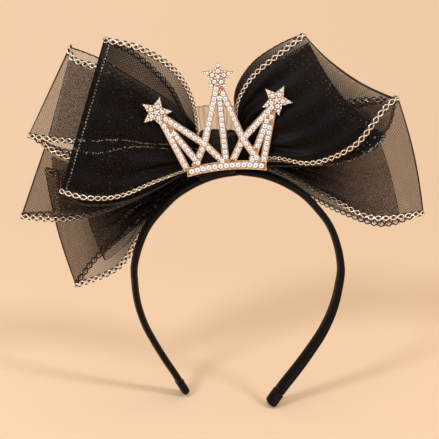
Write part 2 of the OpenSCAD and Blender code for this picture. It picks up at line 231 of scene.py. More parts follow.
def finish_piece(piece: Piece, slot: str, *nodes: str) -> None:
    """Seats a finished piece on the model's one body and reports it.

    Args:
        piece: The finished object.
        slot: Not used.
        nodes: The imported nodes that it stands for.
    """
    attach(piece, BODY)
    if nodes:
        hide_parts(*nodes)
    log.info("%s: %d faces", piece.name, len(piece.data.polygons))


class Graph:
    """A node tree under construction, for a finish, a shared effect or a repeated shape."""

    def __init__(self, tree: bpy.types.NodeTree) -> None:
        """Starts on an existing tree."""
        self.tree = tree

    def node(self, kind: str, **settings: object) -> bpy.types.Node:
        """Adds a node and sets its properties.

        Args:
            kind: Blender's name of the node's type.
            settings: Properties of the node.

        Returns:
            The new node.
        """
        made = self.tree.nodes.new(kind)
        for key, value in settings.items():
            setattr(made, key, value)
        return made

    def feed(self, socket: Socket, value: object) -> None:
        """Links a socket to another one, or sets its own value.

        Args:
            socket: The socket.
            value: Another socket or a plain value.
        """
        if isinstance(value, Socket):
            self.tree.links.new(value, socket)
        else:
            socket.default_value = value

    def math(self, operation: str, *values: object) -> Socket:
        """Adds a sum on numbers and returns its result.

        Args:
            operation: Blender's name of the sum.
            values: What it works on.

        Returns:
            The result.
        """
        made = self.node("ShaderNodeMath", operation=operation)
        for socket, value in zip(made.inputs, values):
            self.feed(socket, value)
        return made.outputs[0]

    def vector(self, operation: str, *values: object) -> Socket:
        """Adds a sum on vectors and returns its result. SCALE takes a vector and a number.

        Args:
            operation: Blender's name of the sum.
            values: What it works on.

        Returns:
            The result.
        """
        made = self.node("ShaderNodeVectorMath", operation=operation)
        if operation == "SCALE":
            self.feed(made.inputs[0], values[0])
            self.feed(made.inputs["Scale"], values[1])
            return made.outputs[0]
        for socket, value in zip(made.inputs, values):
            self.feed(socket, value)
        return made.outputs["Value" if operation in ("DOT_PRODUCT", "LENGTH") else "Vector"]

    def ramp(self, value: object, low: float, high: float) -> Socket:
        """Eases from 0 at low to 1 at high, and the other way round if low is the larger.

        Args:
            value: The number.
            low: Where the result is 0.
            high: Where it is 1.

        Returns:
            The result.
        """
        made = self.node("ShaderNodeMapRange", interpolation_type="SMOOTHSTEP")
        turned = low > high
        for socket, amount in zip(made.inputs, (value, min(low, high), max(low, high),
                                                float(turned), float(not turned))):
            self.feed(socket, amount)
        return made.outputs[0]

    def mix(self, share: object, a: object, b: object) -> Socket:
        """Mixes two colours by a share.

        Args:
            share: Share of the second colour.
            a: First colour.
            b: Second colour.

        Returns:
            The mixed colour.
        """
        made = self.node("ShaderNodeMix", data_type="RGBA")
        for index, value in ((0, share), (6, a), (7, b)):
            self.feed(made.inputs[index], value)
        return made.outputs[2]

    def split(self, vector: object) -> tuple[Socket, ...]:
        """Takes a vector apart into its three numbers.

        Args:
            vector: The vector.

        Returns:
            Its three numbers.
        """
        made = self.node("ShaderNodeSeparateXYZ")
        self.feed(made.inputs[0], vector)
        return tuple(made.outputs)

    def join(self, x: object, y: object, z: object = 0.0) -> Socket:
        """Puts three numbers together as a vector.

        Args:
            x: First number.
            y: Second number.
            z: Third number.

        Returns:
            The vector.
        """
        made = self.node("ShaderNodeCombineXYZ")
        for socket, value in zip(made.inputs, (x, y, z)):
            self.feed(socket, value)
        return made.outputs[0]

    def noise(self, vector: object, scale: float, detail: float = 2.0) -> Socket:
        """Cloudy values from 0 to 1.

        Args:
            vector: Place.
            scale: How fine the clouds are.
            detail: Number of finer layers.

        Returns:
            The value.
        """
        made = self.node("ShaderNodeTexNoise")
        for key, value in (("Vector", vector), ("Scale", scale), ("Detail", detail)):
            self.feed(made.inputs[key], value)
        return made.outputs[0]

    def bump(self, height: object, strength: float, distance: float) -> Socket:
        """Tilts the surface by a height.

        Args:
            height: The height.
            strength: How far it counts.
            distance: Height in metres where it is 1.

        Returns:
            The tilted normal.
        """
        made = self.node("ShaderNodeBump")
        for key, value in (("Height", height), ("Strength", strength), ("Distance", distance)):
            self.feed(made.inputs[key], value)
        return made.outputs[0]

    def stored(self, name: str, kind: str = "FLOAT") -> Socket:
        """Reads an attribute that the source object of a shape tree carries.

        Args:
            name: The attribute's name.
            kind: Its data type.

        Returns:
            The attribute's value.
        """
        made = self.node("GeometryNodeInputNamedAttribute", data_type=kind)
        made.inputs["Name"].default_value = name
        return next(s for s in made.outputs if s.name == "Attribute" and s.enabled)

    def effect(self, group: bpy.types.NodeTree, **inputs: object) -> bpy.types.Node:
        """Places a shared effect.

        Args:
            group: The effect's node group.
            inputs: Its values, with spaces in names written as underscores.

        Returns:
            The group's node.
        """
        made = self.node("ShaderNodeGroup", node_tree=group)
        for key, value in inputs.items():
            self.feed(made.inputs[key.replace("_", " ")], value)
        return made


def shared_effect(
    name: str,
    inputs: dict[str, tuple[str, object]],
    outputs: dict[str, str],
    fill: Callable[[Graph, dict[str, Socket]], dict[str, object]],
) -> bpy.types.NodeTree:
    """Builds an effect that several finishes share, once.

    Args:
        name: The group's name.
        inputs: Kind and starting value of each input.
        outputs: Kind of each output.
        fill: Adds the nodes and returns what feeds each output.

    Returns:
        The node group.
    """
    if name in bpy.data.node_groups:
        return bpy.data.node_groups[name]
    tree = bpy.data.node_groups.new(name, "ShaderNodeTree")
    for key, (kind, value) in inputs.items():
        socket = tree.interface.new_socket(key, in_out="INPUT", socket_type=kind)
        if value is not None:
            socket.default_value = value
    for key, kind in outputs.items():
        tree.interface.new_socket(key, in_out="OUTPUT", socket_type=kind)
    graph = Graph(tree)
    start, end = graph.node("NodeGroupInput"), graph.node("NodeGroupOutput")
    results = fill(graph, {key: start.outputs[key] for key in inputs})
    for key, value in results.items():
        graph.feed(end.inputs[key], value)
    return tree


def crossed_threads() -> bpy.types.NodeTree:
    """Threads that cross on the bias, from UVs in metres: 1 on a thread and 0 between.

    Returns:
        The node group.
    """

    def fill(graph: Graph, given: dict[str, Socket]) -> dict[str, object]:
        """Adds the two thread systems and a slow drift that keeps them from being rigid."""
        u, v, _ = graph.split(given["UV"])
        drift = graph.math("MULTIPLY", graph.noise(given["UV"], 90.0), given["Drift"])
        turns = graph.math("DIVIDE", 2 * math.pi * math.sqrt(0.5), given["Pitch"])
        waves = []
        for operation in ("ADD", "SUBTRACT"):
            across = graph.math("ADD", graph.math(operation, u, v), drift)
            wave = graph.math("COSINE", graph.math("MULTIPLY", across, turns))
            waves.append(graph.math("MULTIPLY_ADD", wave, 0.5, 0.5))
        return {"Threads": graph.math("MAXIMUM", *waves)}

    return shared_effect(
        "Crossed threads",
        {"UV": ("NodeSocketVector", None), "Pitch": ("NodeSocketFloat", 0.0012),
         "Drift": ("NodeSocketFloat", 0.0015)},
        {"Threads": "NodeSocketFloat"}, fill)


def glitter_specks() -> bpy.types.NodeTree:
    """Round metal specks scattered over a surface, each with its own tone and tilt.

    Returns:
        The node group.
    """

    def fill(graph: Graph, given: dict[str, Socket]) -> dict[str, object]:
        """Keeps a share of the cells of a scatter, as discs."""
        place = graph.vector("SCALE", given["UV"], graph.math("DIVIDE", 1.0, given["Cell"]))
        cells = graph.node("ShaderNodeTexVoronoi", voronoi_dimensions="2D")
        graph.feed(cells.inputs["Vector"], place)
        graph.feed(cells.inputs["Scale"], 1.0)
        chance, tone, _ = graph.split(cells.outputs["Color"])
        kept = graph.math("LESS_THAN", chance, given["Share"])
        inside = graph.ramp(cells.outputs["Distance"], 0.50, 0.30)
        tilt = graph.vector("SUBTRACT", cells.outputs["Color"], (0.5, 0.5, 0.5))
        return {"Mask": graph.math("MULTIPLY", kept, inside), "Tone": tone, "Tilt": tilt}

    return shared_effect(
        "Glitter specks",
        {"UV": ("NodeSocketVector", None), "Cell": ("NodeSocketFloat", 0.0007),
         "Share": ("NodeSocketFloat", 0.1)},
        {"Mask": "NodeSocketFloat", "Tone": "NodeSocketFloat", "Tilt": "NodeSocketVector"}, fill)


def surface_clouds() -> bpy.types.NodeTree:
    """Slow and fine changes of tone over a surface, from Object coordinates.

    Returns:
        The node group.
    """

    def fill(graph: Graph, given: dict[str, Socket]) -> dict[str, object]:
        """Adds a broad cloud and a fine grain."""
        broad = graph.noise(given["Place"], 60.0)
        fine = graph.noise(given["Place"], 900.0)
        return {"Broad": broad, "Fine": fine}

    return shared_effect(
        "Surface clouds", {"Place": ("NodeSocketVector", None)},
        {"Broad": "NodeSocketFloat", "Fine": "NodeSocketFloat"}, fill)


class Finish:
    """A material with a name, made once and kept."""

    name: str

    def material(self) -> bpy.types.Material:
        """Returns the material, and builds it the first time.

        Returns:
            The material.
        """
        if self.name in bpy.data.materials:
            return bpy.data.materials[self.name]
        made = bpy.data.materials.new(self.name)
        made.use_nodes = True
        made.node_tree.nodes.clear()
        graph = Graph(made.node_tree)
        surface = graph.node("ShaderNodeBsdfPrincipled")
        output = graph.node("ShaderNodeOutputMaterial")
        made.node_tree.links.new(surface.outputs[0], output.inputs[0])
        self.dress(graph, surface)
        return made

    def dress(self, graph: Graph, surface: bpy.types.Node) -> None:
        """Sets the surface's values and patterns.

        Args:
            graph: The material's nodes.
            surface: Its shader.
        """
        raise NotImplementedError

    @staticmethod
    def set_all(graph: Graph, surface: bpy.types.Node, **values: object) -> None:
        """Feeds the shader's sockets, with spaces in names written as underscores."""
        for key, value in values.items():
            graph.feed(surface.inputs[key.replace("_", " ")], value)

    @staticmethod
    def place(graph: Graph) -> Socket:
        """Object coordinates."""
        return graph.node("ShaderNodeTexCoord").outputs["Object"]

    @staticmethod
    def uv(graph: Graph) -> Socket:
        """The piece's own UV map, in metres."""
        return graph.node("ShaderNodeUVMap", uv_map="UVMap").outputs[0]


@dataclass(frozen=True)
class OrganzaFinish(Finish):
    """Sheer ribbon. Its U runs from the outer fold, and its V from the top edge, in metres.

    Attributes:
        cover: Share of the light that flat cloth stops.
        colour: Tone of close weave.
        painted_glow: Painted light that shows through open weave, as a lighter and warmer colour
            where the weave is open.
        thread_pitch: Distance between threads.
        thread_contrast: How much denser a thread is than the gap beside it.
        rim_line: Width of a dense line along the long edges.
        crease_half: Half the width of the dense line at the outer fold.
        crease_cover: Share of the light that this line stops.
        glitter: Share of the specks that show on flat cloth.
        fold_glitter: Further share beside the outer fold.
        rim_glitter: Further share along the long edges.
        stitch: Distance of a dotted line from the outer fold, on the front.
        seams: Glitter lines along the front, each by its distance from the top edge, its
            slope, its sway and its waves.
        cell: Distance between specks.
        speck_colour: Tone of a speck.
        fold_strip: Where the glitter beside the fold ends and where it is full.
        rim_strip: The same for the glitter along the long edges.
        stitch_strip: The same for the dotted line.
        seam_strip: The same for the glitter lines.
        stitch_pitch: Distance between the dots of the dotted line.
        stitch_share: Share of the specks that show in a dot.
        seam_share: Share of the specks that show in a glitter line.
    """

    name: str
    cover: float
    colour: Colour = (0.0060, 0.0040, 0.0030)
    painted_glow: Colour = (0.042, 0.0135, 0.0040)
    thread_pitch: float = 0.0013
    thread_contrast: float = 0.36
    rim_line: float = 0.0
    crease_half: float = 0.0021
    crease_cover: float = 0.96
    glitter: float = 0.0
    fold_glitter: float = 0.0
    rim_glitter: float = 0.45
    stitch: float = 0.0
    seams: tuple[tuple[float, float, float, float], ...] = ()
    cell: float = 0.00062
    speck_colour: Colour = (0.92, 0.86, 0.79)
    fold_strip: tuple[float, float] = (0.0032, 0.0024)
    rim_strip: tuple[float, float] = (0.0013, 0.0005)
    stitch_strip: tuple[float, float] = (0.0007, 0.0003)
    seam_strip: tuple[float, float] = (0.0009, 0.0003)
    stitch_pitch: float = 0.0021
    stitch_share: float = 0.75
    seam_share: float = 0.36

    def dress(self, graph: Graph, surface: bpy.types.Node) -> None:
        """Weave, dark crease at the fold, gathers by the knot, and specks where it has them."""
        uv = self.uv(graph)
        along, across, _ = graph.split(uv)
        threads = graph.effect(crossed_threads(), UV=uv, Pitch=self.thread_pitch)
        weave = graph.math("MULTIPLY", graph.math("SUBTRACT", threads.outputs[0], 0.6),
                           self.thread_contrast)
        clouds = graph.math("MULTIPLY", graph.math("SUBTRACT", graph.noise(uv, 45.0), 0.5), 0.12)
        open_share = graph.math("SUBTRACT", 1.0 - self.cover, graph.math("ADD", weave, clouds))
        # Gathered cloth lies in more layers, so less of it stays open
        fullness = graph.node("ShaderNodeAttribute", attribute_name="fullness").outputs["Fac"]
        streak_place = graph.join(graph.math("MULTIPLY", along, 12.0),
                                  graph.math("MULTIPLY", across, 300.0))
        streaks = graph.math("MULTIPLY_ADD", graph.noise(streak_place, 1.0), 1.4, 0.3)
        folds = graph.math("MULTIPLY_ADD", graph.math("SUBTRACT", fullness, 1.0), streaks, 1.0)
        open_share = graph.math("POWER", graph.math("MAXIMUM", open_share, 0.01), folds)
        cover = graph.math("SUBTRACT", 1.0, open_share)
        # The outer fold and the long edges show as dense lines
        from_fold = graph.math("ABSOLUTE", along)
        crease = graph.ramp(from_fold, self.crease_half, self.crease_half * 0.55)
        cover = graph.math("MAXIMUM", cover,
                           graph.math("MULTIPLY", crease, self.crease_cover))
        rim = graph.node("ShaderNodeAttribute", attribute_name="rim").outputs["Fac"]
        if self.rim_line:
            line = graph.ramp(rim, self.rim_line, self.rim_line * 0.6)
            cover = graph.math("MAXIMUM", cover, graph.math("MULTIPLY", line, 0.9))
        # Where the weave is open the colour lightens to a warm tone: painted light that shows
        # through the cloth
        colour = graph.mix(graph.ramp(open_share, 0.15, 0.55), (*self.colour, 1.0),
                           (*self.painted_glow, 1.0))
        # Each speck leans its own way, so that only some of them catch a light
        metallic: object = 0.0
        if self.glitter or self.stitch or self.seams:
            share = self.speck_share(graph, uv, rim)
            specks = graph.effect(glitter_specks(), UV=uv, Cell=self.cell, Share=share)
            mask, tone, tilt = specks.outputs
            shade = graph.math("MULTIPLY", mask, graph.math("MULTIPLY_ADD", tone, 0.8, 0.2))
            colour = graph.mix(shade, colour, (*self.speck_colour, 1.0))
            cover = graph.math("MAXIMUM", cover, graph.math("MULTIPLY", shade, 0.9))
            metallic = graph.math("MULTIPLY", mask, 0.5)
            normal = graph.node("ShaderNodeNewGeometry").outputs["Normal"]
            leaning = graph.vector("ADD", normal, graph.vector(
                "SCALE", tilt, graph.math("MULTIPLY", mask, 0.9)))
            self.set_all(graph, surface, Normal=graph.vector("NORMALIZE", leaning))
        self.set_all(graph, surface, Base_Color=colour, Metallic=metallic, Alpha=cover,
                     Roughness=0.5, Specular_IOR_Level=0.1, Specular_Tint=WARM_GLOSS)

    def speck_share(self, graph: Graph, uv: Socket, rim: Socket) -> Socket:
        """Share of the specks that show: patches, and lines at the fold, edges and seams.

        Args:
            graph: The material's nodes.
            uv: Place on the cloth.
            rim: Distance from the nearest long edge.

        Returns:
            The share, from 0 to 1.
        """
        along, across, _ = graph.split(uv)
        front = graph.math("LESS_THAN", along, 0.0)
        share: object = 0.0
        if self.glitter:
            by_fold = graph.ramp(graph.math("ABSOLUTE", along), *self.fold_strip)
            share = graph.math("MULTIPLY_ADD", by_fold, self.fold_glitter, self.glitter)
            by_rim = graph.ramp(rim, *self.rim_strip)
            share = graph.math("MULTIPLY_ADD", by_rim, self.rim_glitter, share)
            patches = graph.math("MULTIPLY_ADD", graph.noise(uv, 55.0), 2.2, -0.25)
            share = graph.math("MULTIPLY", share, patches)
        if self.stitch:
            off = graph.math("ABSOLUTE", graph.math("ADD", along, self.stitch))
            dots = graph.math("SINE", graph.math(
                "MULTIPLY", across, 2 * math.pi / self.stitch_pitch))
            line = graph.math("MULTIPLY", graph.ramp(off, *self.stitch_strip),
                              graph.ramp(dots, -0.6, 0.5))
            share = graph.math("MULTIPLY_ADD", line, self.stitch_share, share)
        for place, slope, sway, waves in self.seams:
            bend = graph.math("SINE", graph.math("MULTIPLY", along, waves))
            level = graph.math("MULTIPLY_ADD", along, slope, place)
            middle = graph.math("MULTIPLY_ADD", bend, sway, level)
            off = graph.math("ABSOLUTE", graph.math("SUBTRACT", across, middle))
            line = graph.math("MULTIPLY", graph.ramp(off, *self.seam_strip), front)
            share = graph.math("MULTIPLY_ADD", line, self.seam_share, share)
        return share


@dataclass(frozen=True)
class SatinFinish(Finish):
    """Black satin with a fine twill, for the band, its end covers and the knot."""

    name: str
    colour: Colour = (0.0024, 0.0018, 0.0017)
    thread_pitch: float = 0.0007
    depth: float = 0.00006
    roughness: float = 0.46
    sheen: float = 0.01

    def dress(self, graph: Graph, surface: bpy.types.Node) -> None:
        """Twill threads, with a soft sheen and slow changes of gloss."""
        threads = graph.effect(crossed_threads(), UV=self.uv(graph), Pitch=self.thread_pitch,
                               Drift=0.0004).outputs[0]
        clouds = graph.effect(surface_clouds(), Place=self.place(graph))
        colour = graph.mix(clouds.outputs["Fine"], (*self.colour, 1.0),
                           (*(c * 2.2 for c in self.colour), 1.0))
        gloss = graph.math("MULTIPLY_ADD", clouds.outputs["Broad"], 0.2, self.roughness - 0.1)
        self.set_all(graph, surface, Base_Color=colour, Roughness=gloss,
                     Sheen_Weight=self.sheen, Sheen_Roughness=0.35, Specular_IOR_Level=0.12,
                     Specular_Tint=WARM_GLOSS,
                     Normal=graph.bump(threads, 0.6, self.depth))


@dataclass(frozen=True)
class ThreadFinish(Finish):
    """Wound thread of the edging, metallic or plain."""

    name: str
    colour: Colour
    shade: Colour
    metallic: float
    roughness: float

    def dress(self, graph: Graph, surface: bpy.types.Node) -> None:
        """Fine windings as a bump, and lighter and darker turns."""
        place = self.place(graph)
        clouds = graph.effect(surface_clouds(), Place=place)
        turns = graph.noise(place, 2600.0, 1.0)
        colour = graph.mix(graph.ramp(clouds.outputs["Fine"], 0.35, 0.65),
                           (*self.shade, 1.0), (*self.colour, 1.0))
        self.set_all(graph, surface, Base_Color=colour, Metallic=self.metallic,
                     Roughness=self.roughness, Normal=graph.bump(turns, 0.35, 0.0001))


@dataclass(frozen=True)
class CastGoldFinish(Finish):
    """Rose gold plating over a cast plate; a darker copy of it in the recesses is painted shade."""

    name: str
    colour: Colour = (1.0, 0.88, 0.68)
    shade: Colour = (0.88, 0.60, 0.35)
    roughness: float = 0.24

    def dress(self, graph: Graph, surface: bpy.types.Node) -> None:
        """Slight casting grain and changes of tone."""
        clouds = graph.effect(surface_clouds(), Place=self.place(graph))
        colour = graph.mix(graph.ramp(clouds.outputs["Fine"], 0.3, 0.6),
                           (*self.shade, 1.0), (*self.colour, 1.0))
        gloss = graph.math("MULTIPLY_ADD", clouds.outputs["Broad"], 0.14, self.roughness - 0.07)
        self.set_all(graph, surface, Base_Color=colour, Metallic=1.0, Roughness=gloss,
                     Normal=graph.bump(clouds.outputs["Fine"], 0.2, 0.0002))


@dataclass(frozen=True)
class CutStoneFinish(Finish):
    """Clear foil-backed stone. Its UV is the place on the stone in shares of its radius."""

    name: str
    sectors: int = 8
    # White base standing in for the foil's bright reflection, and below it the colour of the
    # painted dark reflections and shade
    colour: Colour = (1.0, 0.97, 0.93)
    shade: Colour = (0.05, 0.045, 0.04)

    def dress(self, graph: Graph, surface: bpy.types.Node) -> None:
        """Facets of the foil seen through the table, as tilts of its sectors, and painted
        reflections and shade: dark wedges, a dark middle and a dark girdle on a white that stands
        in for the foil's bright reflection.
        """
        x, y, _ = graph.split(self.uv(graph))
        angle = graph.math("ARCTAN2", y, x)
        step = 2 * math.pi / self.sectors
        nearest = graph.math("MULTIPLY", graph.math(
            "ROUND", graph.math("DIVIDE", angle, step)), step)
        radius = graph.vector("LENGTH", graph.join(x, y))
        slope = graph.math("MULTIPLY", radius, graph.math(
            "COSINE", graph.math("SUBTRACT", angle, nearest)))
        # Painted reflections and shade: dark wedges in a star, a dark middle and a dark girdle,
        # laid into the colour
        star = graph.math("MULTIPLY_ADD", graph.math(
            "COSINE", graph.math("MULTIPLY", angle, float(self.sectors))), 0.5, 0.5)
        facets = graph.math("MULTIPLY", star, graph.math(
            "MULTIPLY", graph.ramp(radius, 0.25, 0.50), 0.32))
        centre = graph.math("MULTIPLY", graph.ramp(radius, 0.36, 0.18), 0.9)
        girdle = graph.math("MULTIPLY", graph.ramp(radius, 0.84, 0.98), 0.6)
        painted_reflections = graph.math("MAXIMUM", graph.math("MAXIMUM", facets, centre), girdle)
        colour = graph.mix(painted_reflections, (*self.colour, 1.0), (*self.shade, 1.0))
        self.set_all(graph, surface, Base_Color=colour, Metallic=0.0, Roughness=0.07,
                     Coat_Weight=1.0, Coat_Roughness=0.02,
                     Normal=graph.bump(slope, 1.0, 0.0006))


@dataclass(frozen=True)
class PaperFinish(Finish):
    """Matt pale floor."""

    name: str
    colour: Colour = (0.905, 0.630, 0.402)

    def dress(self, graph: Graph, surface: bpy.types.Node) -> None:
        """Painted falloff of light: darker towards the back, and a little darker and warmer towards
        the right.
        """
        across, depth, _ = graph.split(self.place(graph))
        # Painted light falloff: the colour darkens and warms a little to the right, and darkens
        # further towards the back
        near = graph.mix(graph.ramp(across, -0.3, 0.3), (*self.colour, 1.0),
                         (self.colour[0] * 0.97, self.colour[1] * 0.95, self.colour[2] * 0.93, 1.0))
        far = graph.vector("SCALE", near, 0.865)
        colour = graph.mix(graph.ramp(depth, -0.15, 0.5), near, far)
        self.set_all(graph, surface, Base_Color=colour, Roughness=0.95, Specular_IOR_Level=0.1)


GOLD_THREAD = ThreadFinish("gold_thread", (1.0, 0.90, 0.74), (0.84, 0.60, 0.38), 0.75, 0.2)
BLACK_THREAD = ThreadFinish("black_thread", (0.020, 0.016, 0.014), (0.008, 0.007, 0.006), 0.0, 0.5)
BAND_SATIN = SatinFinish("band_satin")
KNOT_SATIN = SatinFinish("knot_satin", roughness=0.4)
FRILL_ORGANZA = OrganzaFinish("frill_organza", cover=0.30, crease_half=0.0, crease_cover=0.0,
                              rim_line=0.0007)
ROSE_GOLD = CastGoldFinish("rose_gold")
# Darker copy of the rose gold: painted shade in the plate's recesses
SHADED_RECESS_GOLD = CastGoldFinish("recessed_gold", (0.60, 0.35, 0.18), (0.26, 0.12, 0.05), 0.34)
# Near-white copy of the rose gold: painted highlight on the small grains
HIGHLIT_BEAD_GOLD = CastGoldFinish("bead_gold", (1.0, 0.96, 0.89), (1.0, 0.88, 0.73), 0.2)
CLEAR_STONE = CutStoneFinish("clear_stone")
PALE_FLOOR = PaperFinish("pale_floor")


class ShapeTree:
    """A Geometry Nodes tree with named inputs, run on an object and turned into a plain mesh."""

    def __init__(self, name: str, inputs: dict[str, tuple[str, object]]) -> None:
        """Starts a tree.

        Args:
            name: The tree's name.
            inputs: Kind and starting value of each input.
        """
        self.tree = bpy.data.node_groups.new(name, "GeometryNodeTree")
        self.tree.interface.new_socket(
            "Geometry", in_out="INPUT", socket_type="NodeSocketGeometry")
        for key, (kind, value) in inputs.items():
            socket = self.tree.interface.new_socket(key, in_out="INPUT", socket_type=kind)
            if value is not None:
                socket.default_value = value
        self.tree.interface.new_socket(
            "Geometry", in_out="OUTPUT", socket_type="NodeSocketGeometry")
        self.graph = Graph(self.tree)
        self.given = self.graph.node("NodeGroupInput").outputs
        self.end = self.graph.node("NodeGroupOutput")

    def close(self, parts: Sequence[tuple[Socket, str]]) -> None:
        """Joins the parts, each realized and in the material of one input.

        Args:
            parts: Shapes, each with the name of its material's input.
        """
        joined = self.graph.node("GeometryNodeJoinGeometry")
        for shape, finish in reversed(parts):
            real = self.graph.node("GeometryNodeRealizeInstances")
            self.graph.feed(real.inputs[0], shape)
            dressed = self.graph.node("GeometryNodeSetMaterial")
            self.graph.feed(dressed.inputs["Geometry"], real.outputs[0])
            self.graph.feed(dressed.inputs["Material"], self.given[finish])
            self.graph.feed(joined.inputs[0], dressed.outputs[0])
        self.graph.feed(self.end.inputs[0], joined.outputs[0])

    def run(self, source: Piece, name: str, **values: object) -> Piece:
        """Makes a plain mesh piece from a source object, which is removed.

        Args:
            source: The object that the tree starts from.
            name: The new piece's name.
            values: Inputs, with spaces in names written as underscores.

        Returns:
            The new piece.
        """
        modifier = source.modifiers.new("shape", "NODES")
        modifier.node_group = self.tree
        keys = {item.name: item.identifier for item in self.tree.interface.items_tree
                if item.item_type == "SOCKET" and item.in_out == "INPUT"}
        for key, value in values.items():
            modifier[keys[key.replace("_", " ")]] = value
        source.update_tag()
        depsgraph = bpy.context.evaluated_depsgraph_get()
        mesh = bpy.data.meshes.new_from_object(source.evaluated_get(depsgraph))
        source.modifiers.remove(modifier)
        bpy.data.objects.remove(source)
        mesh.name = name
        piece = bpy.data.objects.new(name, mesh)
        bpy.context.scene.collection.objects.link(piece)
        return piece


@dataclass
class BoundBand:
    """The hard band in its black cloth, and the folded covers on its two ends."""

    width: float = 0.135
    height: float = 0.151
    breadth: float = 0.011
    thickness: float = 0.0042
    cover_length: float = 0.014
    cover_swell: float = 0.0007
    twist: float = 0.0095
    lean: float = 0.0078
    seat_gap: float = 0.0003
    rings: int = 150
    section_points: int = 32
    seam_height: float = 0.00022
    # Half of the middle line: [across, down, turn in degrees], as shares of half width and height
    line: tuple[tuple[float, float, float], ...] = (
        (0.00, 0.000, 0), (0.20, 0.013, 1), (0.37, 0.038, 2), (0.54, 0.078, 3),
        (0.71, 0.142, 5), (0.86, 0.222, 6), (0.95, 0.310, 7), (1.00, 0.410, 8),
        (0.99, 0.490, 9), (0.95, 0.585, 11), (0.87, 0.680, 13), (0.755, 0.770, 15),
        (0.63, 0.855, 17), (0.49, 0.945, 18), (0.41, 1.000, 18))
    # Section, flat against the head and domed outside: [out, back] in thicknesses and breadths
    section: tuple[tuple[float, float], ...] = (
        (-0.5, -0.36), (-0.34, -0.5), (0.05, -0.5), (0.36, -0.34), (0.5, -0.1),
        (0.5, 0.1), (0.36, 0.34), (0.05, 0.5), (-0.34, 0.5), (-0.5, 0.36))

    @property
    def last_row(self) -> int:
        """Row of the table at the end of a leg."""
        return len(self.line) - 1

    @property
    def cover_rows(self) -> float:
        """Part of a leg that its cover takes, in rows of the table."""
        return self.cover_length / (self.height * 0.09)

    def point(self, side: Side, u: np.ndarray) -> np.ndarray:
        """Middle of the strip at rows u on one side.

        Args:
            side: Which leg.
            u: Rows of the table.

        Returns:
            One point a row.
        """
        across, down, _ = smooth_curve(np.array(self.line, float), u).T
        fall = np.maximum(down, 0.0) ** 1.8
        half = (self.width - self.thickness) / 2
        drop = self.height + self.thickness / 2
        return np.stack([
            side.value * across * half - self.lean * fall,
            -side.value * self.twist * fall,
            self.thickness / 2 - down * drop], axis=1)

    def outline(self) -> np.ndarray:
        """Section as a closed smooth ring, with the cloth's overlap as a low ridge inside.

        Returns:
            Points of the ring, in thicknesses and breadths.
        """
        rows = np.array(self.section, float)
        count = len(rows)
        wrapped = np.concatenate([rows[-2:], rows, rows[:3]])
        places = 2 + np.arange(self.section_points) * count / self.section_points
        ring = smooth_curve(wrapped, places)
        ridge = np.exp(-(ring[:, 1] / 0.11) ** 2) * (ring[:, 0] < -0.4)
        ring[:, 0] -= ridge * self.seam_height / self.thickness
        return ring

    def sweep(self, side: Side, u: np.ndarray, swell: np.ndarray) -> np.ndarray:
        """Rings of the strip at rows u, each swollen by a length.

        Args:
            side: Which leg.
            u: Rows of the table.
            swell: Added thickness at each row.

        Returns:
            Rings of points.
        """
        step = 0.02
        ahead = self.point(side, np.minimum(u + step, self.last_row))
        along = unit(ahead - self.point(side, np.maximum(u - step, 0.0)))
        turn = np.radians(side.value * smooth_curve(np.array(self.line, float), u)[:, 2])
        turn = turn[:, None]
        flat_out = unit(np.cross(np.array([0.0, side.value, 0.0]), along))
        back = unit(np.cross(along, flat_out) * side.value)
        out = flat_out * np.cos(turn) - back * np.sin(turn)
        rear = back * np.cos(turn) + flat_out * np.sin(turn)
        ring = self.outline()
        thick = (self.thickness + swell)[:, None, None]
        broad = (self.breadth + swell)[:, None, None]
        middle = self.point(side, u)[:, None, :]
        return (middle + out[:, None, :] * ring[None, :, :1] * thick
                + rear[:, None, :] * ring[None, :, 1:] * broad)

    def tube(self, name: str, rings: np.ndarray, finish: Finish) -> Piece:
        """Closed tube through rings of points, with UVs in metres.

        Args:
            name: The piece's name.
            rings: Rings of points.
            finish: Its finish.

        Returns:
            The new piece.
        """
        count, sides = rings.shape[:2]
        along = arc_lengths(rings.mean(axis=1))
        around = arc_lengths(np.concatenate([rings[count // 2], rings[count // 2][:1]]))[:sides]
        uv = np.stack(np.broadcast_arrays(along[:, None], around[None, :]), axis=-1)
        points = np.concatenate([rings.reshape(-1, 3), rings[0].mean(0)[None],
                                 rings[-1].mean(0)[None]])
        ends = np.array([[0.0, 0.0], [along[-1], 0.0]])
        first, last = count * sides, count * sides + 1
        faces = grid_faces(count, sides, closed=True)
        faces += [(first, (j + 1) % sides, j) for j in range(sides)]
        base = (count - 1) * sides
        faces += [(last, base + j, base + (j + 1) % sides) for j in range(sides)]
        piece = new_piece(name, points, faces, np.concatenate([uv.reshape(-1, 2), ends]))
        outward_faces(piece)
        piece.data.materials.append(finish.material())
        return piece

    def build(self) -> None:
        """Makes the bound strip and its two end covers."""
        last = self.last_row - self.cover_rows
        u = np.linspace(0.0, last, self.rings)
        left = self.sweep(Side.LEFT, u[:0:-1], np.zeros(self.rings - 1))
        right = self.sweep(Side.RIGHT, u, np.zeros(self.rings))
        strip = self.tube("bound_band", np.concatenate([left, right]), BAND_SATIN)
        finish_piece(strip, "band_cloth", "band")
        for side, node in ((Side.LEFT, "tip_left"), (Side.RIGHT, "tip_right")):
            self.end_cover(side, node)

